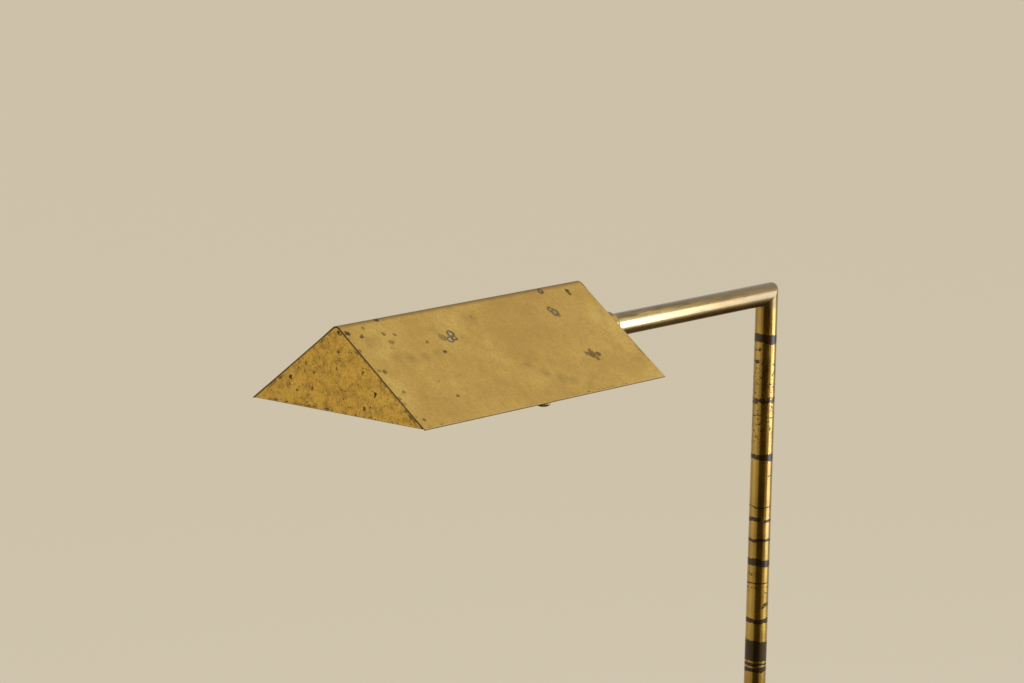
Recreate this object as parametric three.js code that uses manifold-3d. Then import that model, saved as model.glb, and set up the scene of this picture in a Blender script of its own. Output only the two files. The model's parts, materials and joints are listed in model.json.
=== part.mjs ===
// Pharmacy floor lamp: a weighted round base, a telescoping brass stem clamped by a collar nut,
// a mitred horizontal arm, and a folded sheet-brass shade that turns about the arm.
// Millimetres, +Z up. The origin is the centre of the base's underside, on the stem's axis.
// The arm and the shade point towards -Y.
import * as THREE from "three";
import { mergeVertices } from "three/addons/utils/BufferGeometryUtils.js";
import Module from "manifold-3d";

const wasm = await Module();
wasm.setup();

// Fits
const slideFit = 0.25; // radial clearance of a piece that slides or turns in another
const pressFit = 0.05; // radial clearance of a piece that is pressed or screwed home
const seatGap = 0.3; // space between the faces that meet inside the turned shade head
const brazeGap = 0.15; // half of the brazed joint at the mitre, and of the lead's joints
const roundMiddle = 1 - Math.SQRT1_2; // how far in from its corner the middle of a round lies

// Overall sizes
const armHeight = 1184; // arm axis above the floor
const armReach = 203.2; // stem axis to the shade's rear
const columnTop = 740; // top of the fixed column
const liftLeft = 50; // how much further the stem can rise from here
const shadeTurnAtRest = 1.4; // degrees, with the +X edge of the shade raised

// Tubes
const stemDiameter = 15.875;
const stemWall = 1.0;
const columnSlack = 0.5875; // radial space between the stem and the column's bore
const columnWall = 1.0;

// Shade
const shadeLength = 228.6;
const shadeWidth = 152.4;
const shadeHeight = 56.5; // open edge to where the two slopes would meet
const rimBelowAxis = 20; // the open edge lies this far under the arm's axis
const shadeSheet = 0.8;
const plateSheet = 1.0;
const ridgeRadius = 5.5; // outside radius of the fold
const foldShares = [1, 0.5, 0, -0.5, -1]; // of the fold's half angle

// Base
const baseRadius = 127;
const baseHeight = 30;
const baseEdgeHeight = 14;
const baseEdgeRound = 2.5;
const domeShares = [0, 0.3, 0.5, 0.7, 0.85, 1]; // where the dome's facets meet, hub to edge
const hubRadius = 26; // flat top that carries the column
const coverSheet = 0.9;
const coverCorner = 1.0; // the wall's inside corner under the dome
const feltThickness = 2.5;
const feltInset = 1.5;
const weightFit = 0.8; // space between the weight and the cover's wall
const pocketRadius = 21; // recess under the weight for the lock nut
const pocketTop = 18.2;
const channelWidth = 11;
const channelTop = 12;
const channelOverlap = 1; // the channel runs this far into the pocket

// Column foot
const columnNippleRadius = 6.5;
const columnNippleWall = 1.5;
const baseNutHeight = 5;
const baseNutFlats = 22;
const baseWasherRadius = 16;
const baseWasherThickness = 1.5;
const ferruleFoot = 21; // radius of the ferrule where it meets the hub
const ferruleFloor = 3;
const ferruleHeight = 26;
const ferruleWall = 1.6;
const ferruleRim = 2; // straight rim at the ferrule's top
const ferruleShares = [0, 0.25, 0.5, 0.75, 1];
const footPlugLength = 26;

// Lead and its inlet
const leadRadius = 2.3;
const leadRoom = 0.9; // radial room round the lead in a bore that it is pulled through
const leadHeight = 7; // height of the lead where it enters the base
const leadBend = 9;
const inletFlange = 1.9;
const inletFlangeLip = 1.5;
const inletWall = 1.0;
const inletSnap = 0.5; // how far the inner flange grips behind the cover
const leadSides = 8;

// Collet and collar nut
const colletWall = 2.45; // outside the column
const colletSocket = 16; // length of column held in the collet body
const colletShoulder = 3;
const colletThreadLength = 13;
const colletThreadWall = 2.4;
const colletTaperLength = 10;
const colletTaperTipWall = 1.1;
const colletSlotWidth = 1.2;
const colletSlotDepth = 18;
const collarWall = 2.9;
const collarTopLength = 8;
const collarChamfer = 1.0;
const collarLipWall = 2.2;

// Stem foot
const plugLength = 20; // inside the stem
const plugShoulder = 3;
const plugNeckLength = 13.6;
const plugNeckWall = 1.7;
const plugFlange = 3;
const plugFlangeLip = 1.4;
const bushSplit = 1.5;

// Swivel between the arm and the shade, along the arm's axis
const sleeveWall = 2.0;
const sleeveLength = 33.2;
const sleeveChamfer = 2.0;
const sleeveRound = [[0.8, 0], [0.25, 0.4], [0, 1.4]]; // shares of the chamfer: in, and along
const sleeveWeb = 1.3;
const sleeveFit = 0.35; // a loose radial fit round the arm
const nippleWall = 1.6;
const swivelWasher = 0.8;
const endBushFlange = 1.2;
const endBushLength = 16.4;
const springWasher = 1.0;
const swivelNutLength = 4;
const nippleBehindNut = 1;
const swivelNutRoom = 0.6; // radial room of the round nut in the arm's bore
const shadeNutHeight = 4;
const shadeNutFlats = 17;
const nippleIntoCap = 11;

// Socket, switch and bulb, along the arm's axis
const capNeckLength = 4;
const capNeckRadius = 8;
const capLength = 16;
const capCurve = [[0.35, 0.25], [0.72, 0.5], [0.93, 0.75], [1, 1]]; // shares of the swell and its length
const capStandOff = 3.5; // between the shade's lock nut and the socket cap
const shellRadius = 17;
const shellWall = 0.7;
const shellLength = 47;
const linerWall = 0.8;
const linerRoom = 0.2;
const switchBodyLength = 19;
const switchShaftRadius = 1.5;
const switchShaftHole = 3; // radius of the holes it passes through
const switchShaftRoom = 1; // space over its upper end
const switchShaftFromCap = 10.4; // shaft axis, from the cap's open end
const switchShaftDepth = 5; // where the shaft starts, off the arm's axis
const knobRadius = 5;
const knobLength = 12;
const knobShares = { foot: 0.7, footRise: 0.3, headFall: 0.5, head: 0.6 }; // of its radius
const knobBelowRim = 25; // the knob's foot, under the shade's open edge
const screwShellRadius = 13.4;
const screwShellWall = 0.4;
const screwShellLength = 24;
const contactRadius = 3;
const contactHeight = 1.7;
const contactHole = 6; // radius of the hole in the screw shell's floor
const bulbCapWall = 0.5;
const bulbCapLength = 24;
const bulbCapCone = 0.2; // share of its length
const bulbRadius = 16;
const bulbLength = 116; // the glass, from inside its cap to its tip
const glassWall = 0.8;
const glassDome = [0.3, 0.6, 0.85]; // shares of the quarter circle at its end

// Facets
const fineSides = 40;
const sides = 24;
const smallSides = 16;
const leadSteps = 18;

// Worked out from the sizes above: a name that ends in Rear or Front is a place along the arm
const stemRadius = stemDiameter / 2;
const stemBore = stemRadius - stemWall;
const columnBore = stemRadius + columnSlack;
const columnRadius = columnBore + columnWall;
const columnFoot = baseHeight + ferruleFloor;
const leadBore = leadRadius + leadRoom;
const neckBore = leadBore + leadRoom;
const neckRadius = neckBore + plugNeckWall;
const stemFoot = columnTop - liftLeft - plugNeckLength - plugFlange;
const nippleRadius = leadBore + nippleWall;
const colletBore = stemRadius + slideFit;
const threadRadius = colletBore + colletThreadWall;
const taperTipRadius = colletBore + colletTaperTipWall;
const threadStart = columnTop + colletShoulder;
const taperStart = threadStart + colletThreadLength;
const taperEnd = taperStart + colletTaperLength;
const rearPlateFront = armReach + plateSheet;
const frontPlateRear = armReach + shadeLength - plateSheet;
const webRear = armReach - seatGap - sleeveWeb;
const armEnd = webRear - seatGap - swivelWasher - seatGap - endBushFlange;
const endBushRear = armEnd - endBushLength;
const springWasherRear = endBushRear - seatGap - springWasher;
const swivelNutRear = springWasherRear - seatGap - swivelNutLength;
const nippleRear = swivelNutRear - nippleBehindNut;
const shadeNutFront = rearPlateFront + seatGap + shadeNutHeight;
const capRear = shadeNutFront + capStandOff;
const capFront = capRear + capLength;
const nippleFront = capRear + nippleIntoCap;
const shellRear = capFront + seatGap;
const linerRadius = shellRadius - shellWall - linerRoom;
const switchBodyFront = shellRear + switchBodyLength;
const switchShaftAt = capFront + switchShaftFromCap;
const screwShellRear = switchBodyFront + seatGap;
const bulbCapRear = screwShellRear + contactHeight + seatGap;
const bulbCapRadius = screwShellRadius - screwShellWall - slideFit;
const bulbGlassRear = bulbCapRear + bulbCapLength / 2;
const knobFoot = -(rimBelowAxis + knobBelowRim);
const knobHead = knobFoot + knobLength;
const inletHole = leadRadius + slideFit + inletWall;

// Shade outline: the slope's unit direction down from the ridge, and its outward normal
const slopeLength = Math.hypot(shadeWidth / 2, shadeHeight);
const slopeDown = new THREE.Vector2(shadeWidth / 2, -shadeHeight).divideScalar(slopeLength);
const slopeOut = new THREE.Vector2(shadeHeight, shadeWidth / 2).divideScalar(slopeLength);

const finishes = {
  agedBrass: { color: 0xb8964c, roughness: 0.42, metalness: 1 },
  polishedBrass: { color: 0xc9a45a, roughness: 0.22, metalness: 1 },
  turnedBrass: { color: 0xc2a05a, roughness: 0.3, metalness: 1 },
  castIron: { color: 0x3a3a3c, roughness: 0.75, metalness: 0.6 },
  zincSteel: { color: 0xa8a9a6, roughness: 0.4, metalness: 1 },
  felt: { color: 0x2f4034, roughness: 0.95, metalness: 0 },
  fibre: { color: 0x4a3426, roughness: 0.85, metalness: 0 },
  phenolic: { color: 0x1d1815, roughness: 0.4, metalness: 0 },
  nylon: { color: 0xe6e1d2, roughness: 0.5, metalness: 0 },
  leadJacket: { color: 0x2a2420, roughness: 0.6, metalness: 0 },
  aluminium: { color: 0xb9bbbb, roughness: 0.35, metalness: 1 },
  opalGlass: { color: 0xf3efe4, roughness: 0.3, metalness: 0 },
};

// A named sub-part in its finish
function part(name, geometry, finish) {
  const mesh = new THREE.Mesh(geometry, new THREE.MeshStandardMaterial(finishes[finish]));
  mesh.name = name;
  return mesh;
}

// Positive where the outline runs anticlockwise
function outlineArea(points) {
  return points.reduce((sum, [x, y], i) => {
    const [nextX, nextY] = points[(i + 1) % points.length];
    return sum + (x * nextY - nextX * y) / 2;
  }, 0);
}

// A solid of revolution about +Y from [radius, height] points, closed on the axis or on itself
function turned(outline, facets = sides) {
  const points = outlineArea(outline) > 0 ? outline : [...outline].reverse();
  const touchesAxis = points.some(([radius]) => radius === 0);
  const start = touchesAxis ? axisStart(points) : 0;
  const ring = points.map((_, i) => points[(start + i) % points.length]);
  if (!touchesAxis) ring.push(ring[0]);
  return new THREE.LatheGeometry(ring.map(([r, h]) => new THREE.Vector2(r, h)), facets);
}

// The point on the axis that the outline leaves from
function axisStart(points) {
  const count = points.length;
  return points.findIndex(([r], i) => r === 0 && points[(i + 1) % count][0] > 0);
}

// Turned about the vertical axis: heights run along +Z
const upright = (outline, facets) => turned(outline, facets).rotateX(Math.PI / 2);

// Turned about the arm's axis: heights run along -Y, away from the stem
const alongArm = (outline, facets) => turned(outline, facets).rotateX(Math.PI);

// The outline of a plain tube, washer or bush, and of a solid rod
const tube = (outer, inner, from, to) => [[inner, from], [outer, from], [outer, to], [inner, to]];
const rod = (radius, from, to) => [[0, from], [radius, from], [radius, to], [0, to]];

// A regular outline with a given number of sides
function ngon(radius, count) {
  return Array.from({ length: count }, (_, i) => {
    const angle = (2 * Math.PI * (i + 0.5)) / count;
    return new THREE.Vector2(radius * Math.cos(angle), radius * Math.sin(angle));
  });
}

// A flat outline made thick along +Z, with round holes whose flats stand at the given radius
function plate(points, thickness, holes = []) {
  const shape = new THREE.Shape(points);
  const corners = 1 / Math.cos(Math.PI / smallSides);
  shape.holes = holes.map((radius) => new THREE.Path(ngon(radius * corners, smallSides)));
  return new THREE.ExtrudeGeometry(shape, { depth: thickness, bevelEnabled: false });
}

// A hexagon nut along +Z, from its across-flats size
const hexNut = (flats, bore, height) => plate(ngon(flats / Math.sqrt(3), 6), height, [bore]);

// A three.js geometry as a solid, and back
function toSolid(geometry) {
  const bare = geometry.index ? geometry.toNonIndexed() : geometry.clone();
  bare.deleteAttribute("normal");
  bare.deleteAttribute("uv");
  const merged = mergeVertices(bare, 1e-4);
  return new wasm.Manifold(
    new wasm.Mesh({
      numProp: 3,
      vertProperties: new Float32Array(merged.attributes.position.array),
      triVerts: new Uint32Array(merged.index.array),
    }),
  );
}

function toGeometry(solid) {
  const mesh = solid.getMesh();
  const geometry = new THREE.BufferGeometry();
  geometry.setAttribute("position", new THREE.BufferAttribute(mesh.vertProperties, 3));
  geometry.setIndex(new THREE.BufferAttribute(mesh.triVerts, 1));
  geometry.computeVertexNormals();
  return geometry;
}

// A body with other bodies cut out of it
function cut(body, ...tools) {
  return toGeometry(tools.reduce((solid, tool) => solid.subtract(toSolid(tool)), toSolid(body)));
}

// A lead's route in the YZ plane: a straight, a quarter circle round a square corner, a straight.
// Each of the three takes a third of the steps, so the bend stays smooth on a long lead.
class LeadRoute extends THREE.Curve {
  constructor(from, corner, to) {
    super();
    this.from = new THREE.Vector3(0, ...from);
    this.corner = new THREE.Vector3(0, ...corner);
    this.to = new THREE.Vector3(0, ...to);
    this.start = this.towards(this.from);
    this.end = this.towards(this.to);
    this.centre = this.start.clone().add(this.end).sub(this.corner);
  }
  towards(point) {
    return this.corner.clone().add(point.clone().sub(this.corner).setLength(leadBend));
  }
  getPoint(t) {
    if (t <= 1 / 3) return this.from.clone().lerp(this.start, 3 * t);
    if (t >= 2 / 3) return this.end.clone().lerp(this.to, 3 * t - 2);
    const angle = (Math.PI / 2) * (3 * t - 1);
    return this.centre
      .clone()
      .addScaledVector(this.start.clone().sub(this.centre), Math.cos(angle))
      .addScaledVector(this.end.clone().sub(this.centre), Math.sin(angle));
  }
  getPointAt(u) {
    return this.getPoint(u);
  }
  getTangentAt(u) {
    return this.getTangent(u);
  }
}

function leadAlong(from, corner, to) {
  return new THREE.ExtrudeGeometry(new THREE.Shape(ngon(leadRadius, leadSides)), {
    steps: leadSteps,
    bevelEnabled: false,
    extrudePath: new LeadRoute(from, corner, to),
  });
}

// ---- Base ----

// Height of the cover's outside at a radius: flat on the hub, then falling as a parabola
const domeEdge = baseRadius - baseEdgeRound;
function domeHeight(radius) {
  const share = Math.max(0, (radius - hubRadius) / (domeEdge - hubRadius));
  return baseHeight - (baseHeight - baseEdgeHeight) * share * share;
}
const domeRadii = domeShares.map((share) => hubRadius + (domeEdge - hubRadius) * share);

function baseCover() {
  const hole = columnNippleRadius + slideFit;
  const inside = baseRadius - coverSheet;
  const edgeDrop = baseEdgeHeight - baseEdgeRound;
  const outer = domeRadii.map((r) => [r, domeHeight(r)]);
  const inner = domeRadii.map((r) => [Math.min(r, inside - coverCorner), domeHeight(r) - coverSheet]);
  const outline = [
    [hole, baseHeight],
    ...outer,
    [baseRadius - roundMiddle * baseEdgeRound, baseEdgeHeight - roundMiddle * baseEdgeRound],
    [baseRadius, edgeDrop],
    [baseRadius, feltThickness],
    [inside, feltThickness],
    [inside, edgeDrop],
    ...inner.reverse(),
    [hole, baseHeight - coverSheet],
  ];
  const inlet = turned(rod(inletHole, 0, 2 * baseEdgeRound), smallSides);
  inlet.translate(0, baseRadius - baseEdgeRound, leadHeight);
  return cut(upright(outline, fineSides), inlet);
}

function baseWeight() {
  const edge = baseRadius - coverSheet - weightFit;
  const under = coverSheet + weightFit;
  const top = domeRadii
    .filter((r) => r > hubRadius)
    .map((r) => [Math.min(r, edge - baseEdgeRound), domeHeight(r) - under]);
  const bore = columnNippleRadius + pressFit;
  const outline = [
    [bore, baseHeight - coverSheet],
    [hubRadius - weightFit, baseHeight - coverSheet],
    ...top,
    [edge, baseEdgeHeight - baseEdgeRound - weightFit],
    [edge, feltThickness],
    [pocketRadius, feltThickness],
    [pocketRadius, pocketTop],
    [bore, pocketTop],
  ];
  const length = baseRadius;
  const height = channelTop - feltThickness;
  const channel = new THREE.BoxGeometry(channelWidth, length, 2 * height);
  channel.translate(0, pocketRadius - channelOverlap + length / 2, feltThickness);
  return cut(upright(outline, fineSides), channel);
}

function cordBushing() {
  const wallIn = (baseRadius - coverSheet) * Math.cos(Math.PI / fineSides) - slideFit;
  const wallOut = baseRadius + slideFit;
  const bore = leadRadius + slideFit;
  const neck = inletHole - pressFit;
  const lip = inletHole + inletFlangeLip;
  const outline = [
    [bore, wallIn - inletFlange],
    [neck + inletSnap, wallIn - inletFlange],
    [neck + inletSnap, wallIn],
    [neck, wallIn],
    [neck, wallOut],
    [lip, wallOut],
    [lip - inletSnap, wallOut + inletFlange],
    [bore, wallOut + inletFlange],
  ];
  return turned(outline, smallSides).translate(0, 0, leadHeight);
}

const washerFrom = pocketTop - baseWasherThickness;
const baseNutFrom = washerFrom - baseNutHeight;
const columnNippleBore = columnNippleRadius - columnNippleWall;

function columnFerrule() {
  const sleeve = columnRadius + pressFit;
  const rim = sleeve + ferruleWall;
  const top = baseHeight + ferruleHeight;
  const swellHeight = ferruleHeight - ferruleFloor - ferruleRim;
  const swell = ferruleShares.map((share) => {
    const radius = rim + (ferruleFoot - rim) * (1 - share) ** 2;
    return [radius, baseHeight + ferruleFloor + swellHeight * share];
  });
  const outline = [
    [columnNippleRadius + pressFit, baseHeight],
    [ferruleFoot, baseHeight],
    ...swell,
    [rim, top],
    [sleeve, top],
    [sleeve, columnFoot],
    [columnNippleRadius + pressFit, columnFoot],
  ];
  return upright(outline);
}

function colletBody() {
  const socket = columnRadius + pressFit;
  const outer = columnRadius + colletWall;
  const foot = columnTop - colletSocket;
  const outline = [
    [socket, foot],
    [outer, foot],
    [outer, threadStart],
    [threadRadius, threadStart],
    [threadRadius, taperStart],
    [taperTipRadius, taperEnd],
    [colletBore, taperEnd],
    [colletBore, columnTop],
    [socket, columnTop],
  ];
  const slots = [0, 1].map((turn) => {
    const slot = new THREE.BoxGeometry(4 * threadRadius, colletSlotWidth, 2 * colletSlotDepth);
    return slot.rotateZ((turn * Math.PI) / 2).translate(0, 0, taperEnd);
  });
  return cut(upright(outline), ...slots);
}

function collarNut() {
  const outer = threadRadius + collarWall;
  const foot = threadStart + slideFit;
  const top = taperEnd + collarTopLength;
  const outline = [
    [threadRadius + slideFit, foot],
    [outer - collarChamfer, foot],
    [outer, foot + collarChamfer],
    [outer, taperEnd],
    [colletBore + collarLipWall, top],
    [colletBore, top],
    [colletBore, taperEnd + 2 * slideFit],
    [taperTipRadius + slideFit, taperEnd + 2 * slideFit],
    [threadRadius + slideFit, taperStart],
  ];
  return upright(outline);
}

// ---- Stem and arm ----

// A tube whose far end is cut at 45 degrees through the corner where stem and arm meet
function stemTube() {
  const from = stemFoot + plugFlange + plugNeckLength + plugShoulder;
  const geometry = upright(tube(stemRadius, stemBore, from, armHeight), sides);
  const at = geometry.attributes.position;
  for (let i = 0; i < at.count; i += 1) {
    if (at.getZ(i) > armHeight - stemRadius) at.setZ(i, armHeight + at.getY(i) - brazeGap);
  }
  return geometry;
}

function armTube() {
  const geometry = alongArm(tube(stemRadius, stemBore, 0, armEnd), sides);
  geometry.translate(0, 0, armHeight);
  const at = geometry.attributes.position;
  for (let i = 0; i < at.count; i += 1) {
    if (at.getY(i) > -stemRadius) at.setY(i, at.getZ(i) - armHeight - brazeGap);
  }
  return geometry;
}

function stemEndPlug() {
  const neckFrom = stemFoot + plugFlange;
  const shoulderFrom = neckFrom + plugNeckLength;
  const seat = shoulderFrom + plugShoulder;
  const outline = [
    [neckBore, stemFoot],
    [neckRadius + plugFlangeLip, stemFoot],
    [neckRadius + plugFlangeLip, neckFrom],
    [neckRadius, neckFrom],
    [neckRadius, shoulderFrom],
    [stemRadius - slideFit, shoulderFrom],
    [stemRadius - slideFit, seat],
    [stemBore - pressFit, seat],
    [stemBore - pressFit, seat + plugLength],
    [neckBore, seat + plugLength],
  ];
  return upright(outline);
}

function stemGuideBush() {
  const from = stemFoot + plugFlange + slideFit;
  const to = stemFoot + plugFlange + plugNeckLength - slideFit;
  const ring = upright(tube(columnBore - slideFit, neckRadius + slideFit, from, to));
  const split = new THREE.BoxGeometry(2 * columnBore, bushSplit, 4 * plugNeckLength);
  return cut(ring, split.translate(columnBore, 0, from));
}

function armEndBush() {
  const bore = nippleRadius + slideFit;
  const outline = [
    [bore, endBushRear],
    [stemBore - pressFit, endBushRear],
    [stemBore - pressFit, armEnd],
    [stemRadius, armEnd],
    [stemRadius, armEnd + endBushFlange],
    [bore, armEnd + endBushFlange],
  ];
  return alongArm(outline).translate(0, 0, armHeight);
}

// ---- Shade head, about the arm's axis ----

// Points round the fold at a radius, from the +X slope to the -X one, x across and z above the axis
function foldArc(radius) {
  const foldCentre = shadeHeight - rimBelowAxis - ridgeRadius / slopeOut.y;
  const foldAngle = Math.atan2(slopeOut.x, slopeOut.y);
  return foldShares.map((share) => {
    const angle = foldAngle * share;
    return new THREE.Vector2(radius * Math.sin(angle), foldCentre + radius * Math.cos(angle));
  });
}

// The folded sheet's section
function shadeSection() {
  const corner = new THREE.Vector2(shadeWidth / 2, -rimBelowAxis);
  const inner = corner.clone().addScaledVector(slopeOut, -shadeSheet);
  const mirror = (point) => new THREE.Vector2(-point.x, point.y);
  return [
    corner,
    ...foldArc(ridgeRadius),
    mirror(corner),
    mirror(inner),
    ...foldArc(ridgeRadius - shadeSheet).reverse(),
    inner,
  ];
}

// An outline in x and z made thick away from the stem
function acrossArm(geometry, from) {
  return geometry.rotateX(Math.PI / 2).translate(0, -from, 0);
}

// A triangle with a round top that fits inside the folded sheet, flush with its end
function endPlate(from, holes) {
  const inset = shadeSheet + seatGap;
  const half = (shadeHeight - inset / slopeOut.y) * (shadeWidth / 2 / shadeHeight);
  const points = [
    new THREE.Vector2(-half, -rimBelowAxis),
    new THREE.Vector2(half, -rimBelowAxis),
    ...foldArc(ridgeRadius - inset),
  ];
  return acrossArm(plate(points, plateSheet, holes), from);
}

function swivelSleeve() {
  const from = armReach - sleeveLength;
  const to = armReach - seatGap;
  const bore = stemRadius + sleeveFit;
  const outer = bore + sleeveWall;
  const nippleHole = nippleRadius + pressFit;
  const outline = [
    [bore, from],
    ...sleeveRound.map(([inward, along]) => [
      outer - inward * sleeveChamfer,
      from + along * sleeveChamfer,
    ]),
    [outer, to],
    [nippleHole, to],
    [nippleHole, webRear],
    [bore, webRear],
  ];
  return alongArm(outline);
}

// The cap swells from its neck to the shell's size, and is as thick as the shell
function socketCap() {
  const neckEnd = capRear + capNeckLength;
  const swellLength = capLength - capNeckLength;
  const swell = (radius) =>
    capCurve.map(([share, rise]) => [
      capNeckRadius + (radius - capNeckRadius) * share,
      neckEnd + rise * swellLength,
    ]);
  const bore = nippleRadius + pressFit;
  const inner = swell(shellRadius - shellWall).slice(1);
  const floor = neckEnd + capCurve[0][1] * swellLength;
  const outline = [
    [bore, capRear],
    [capNeckRadius, capRear],
    [capNeckRadius, neckEnd],
    ...swell(shellRadius),
    ...inner.reverse(),
    [capNeckRadius, floor],
    [bore, floor],
  ];
  return alongArm(outline);
}

// A rod down through the socket's side, for the shaft or for its holes
function shaftRod(radius, top, foot) {
  return upright(rod(radius, foot, top), smallSides).translate(0, -switchShaftAt, 0);
}

function socketShell() {
  const shell = alongArm(tube(shellRadius, shellRadius - shellWall, shellRear, shellRear + shellLength));
  return cut(shell, shaftRod(switchShaftHole, 0, -2 * shellRadius));
}

function socketLiner() {
  const end = shellRear + shellLength - linerWall;
  const liner = alongArm(tube(linerRadius, linerRadius - linerWall, shellRear, end));
  return cut(liner, shaftRod(switchShaftHole, 0, -2 * shellRadius));
}

function switchBody() {
  const radius = linerRadius - linerWall - seatGap;
  const block = alongArm(rod(radius, shellRear + seatGap, switchBodyFront));
  const bore = shaftRod(switchShaftRadius + slideFit, switchShaftRoom - switchShaftDepth, -2 * shellRadius);
  return cut(block, bore);
}

function screwShell() {
  const outer = screwShellRadius;
  const inner = outer - screwShellWall;
  const outline = [
    [contactHole, screwShellRear],
    [outer, screwShellRear],
    [outer, screwShellRear + screwShellLength],
    [inner, screwShellRear + screwShellLength],
    [inner, screwShellRear + screwShellWall],
    [contactHole, screwShellRear + screwShellWall],
  ];
  return alongArm(outline);
}

function bulbCap() {
  const tip = contactRadius;
  const inner = bulbCapRadius - bulbCapWall;
  const coneEnd = bulbCapRear + bulbCapCone * bulbCapLength;
  const outline = [
    [0, bulbCapRear],
    [tip, bulbCapRear],
    [bulbCapRadius, coneEnd],
    [bulbCapRadius, bulbCapRear + bulbCapLength],
    [inner, bulbCapRear + bulbCapLength],
    [inner, coneEnd + 2 * bulbCapWall],
    [tip, bulbCapRear + 2 * bulbCapWall],
    [0, bulbCapRear + 2 * bulbCapWall],
  ];
  return alongArm(outline);
}

function bulbGlass() {
  const neck = bulbCapRadius - bulbCapWall - slideFit;
  const neckEnd = bulbCapRear + bulbCapLength + seatGap;
  const tip = bulbGlassRear + bulbLength;
  const dome = (radius) => glassDome.map((share) => {
    const angle = (share * Math.PI) / 2;
    return [radius * Math.cos(angle), tip - bulbRadius + radius * Math.sin(angle)];
  });
  const wall = (inset) => [
    [neck - inset, bulbGlassRear],
    [neck - inset, neckEnd],
    [bulbRadius - inset, neckEnd + bulbRadius],
    [bulbRadius - inset, tip - bulbRadius],
    ...dome(bulbRadius - inset),
    [0, tip - inset],
  ];
  return alongArm([...wall(0), ...wall(glassWall).reverse()]);
}

function switchKnob() {
  const outline = [
    [0, knobFoot],
    [knobShares.foot * knobRadius, knobFoot],
    [knobRadius, knobFoot + knobShares.footRise * knobRadius],
    [knobRadius, knobHead - knobShares.headFall * knobRadius],
    [knobShares.head * knobRadius, knobHead],
    [0, knobHead],
  ];
  return upright(outline, smallSides).translate(0, -switchShaftAt, 0);
}

function shadeHead() {
  const head = new THREE.Group();
  head.position.z = armHeight;
  head.rotation.y = -THREE.MathUtils.degToRad(shadeTurnAtRest);
  const canopy = plate(shadeSection(), shadeLength);
  const nippleHole = nippleRadius + slideFit;
  const shadeNut = hexNut(shadeNutFlats, nippleRadius + pressFit, shadeNutHeight);
  const swivelNut = tube(
    stemBore - swivelNutRoom,
    nippleRadius + pressFit,
    swivelNutRear,
    swivelNutRear + swivelNutLength,
  );
  const spring = tube(
    stemBore - swivelNutRoom,
    nippleRadius + slideFit,
    springWasherRear,
    springWasherRear + springWasher,
  );
  const washerRear = armEnd + endBushFlange + seatGap;
  const washer = tube(stemRadius, nippleRadius + slideFit, washerRear, washerRear + swivelWasher);
  const leadEnds = [nippleRear + brazeGap, shellRear - seatGap];
  const contactFrom = switchBodyFront + seatGap;
  const contact = rod(contactRadius, contactFrom, contactFrom + contactHeight - seatGap);
  head.add(
    part("shade_canopy", acrossArm(canopy, armReach), "agedBrass"),
    part("shade_rear_plate", endPlate(armReach, [nippleHole]), "agedBrass"),
    part("shade_front_plate", endPlate(frontPlateRear, []), "agedBrass"),
    part("swivel_sleeve", swivelSleeve(), "turnedBrass"),
    part("shade_nipple", alongArm(tube(nippleRadius, leadBore, nippleRear, nippleFront)), "zincSteel"),
    part("swivel_lock_nut", alongArm(swivelNut), "turnedBrass"),
    part("swivel_spring_washer", alongArm(spring), "zincSteel"),
    part("swivel_friction_washer", alongArm(washer), "fibre"),
    part("shade_lock_nut", acrossArm(shadeNut, rearPlateFront + seatGap), "turnedBrass"),
    part("lead_socket", alongArm(rod(leadRadius, ...leadEnds), smallSides), "leadJacket"),
    part("socket_cap", socketCap(), "turnedBrass"),
    part("socket_shell", socketShell(), "turnedBrass"),
    part("socket_liner", socketLiner(), "fibre"),
    part("switch_body", switchBody(), "phenolic"),
    part("centre_contact", alongArm(contact, smallSides), "turnedBrass"),
    part("screw_shell", screwShell(), "turnedBrass"),
    part("bulb_cap", bulbCap(), "aluminium"),
    part("bulb_glass", bulbGlass(), "opalGlass"),
    part("switch_shaft", shaftRod(switchShaftRadius, -switchShaftDepth, knobHead + seatGap), "zincSteel"),
    part("switch_knob", switchKnob(), "turnedBrass"),
  );
  return head;
}

// ---- Assembly ----

const lamp = new THREE.Group();

const felt = rod(baseRadius - feltInset, 0, feltThickness);
const columnNippleTop = columnFoot + footPlugLength;
const columnNipple = tube(columnNippleRadius, columnNippleBore, baseNutFrom, columnNippleTop);
const baseWasher = tube(baseWasherRadius, columnNippleRadius + pressFit, washerFrom, pocketTop);
const footPlug = tube(
  columnBore - pressFit,
  columnNippleRadius + pressFit,
  columnFoot,
  columnFoot + footPlugLength,
);
const baseNut = hexNut(baseNutFlats, columnNippleRadius + pressFit, baseNutHeight);
const leadInletEnd = [baseRadius - 2 * leadRadius, leadHeight];
const leadJoint = stemFoot - brazeGap;
const leadArmEnd = [-nippleRear + brazeGap, armHeight];

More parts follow.
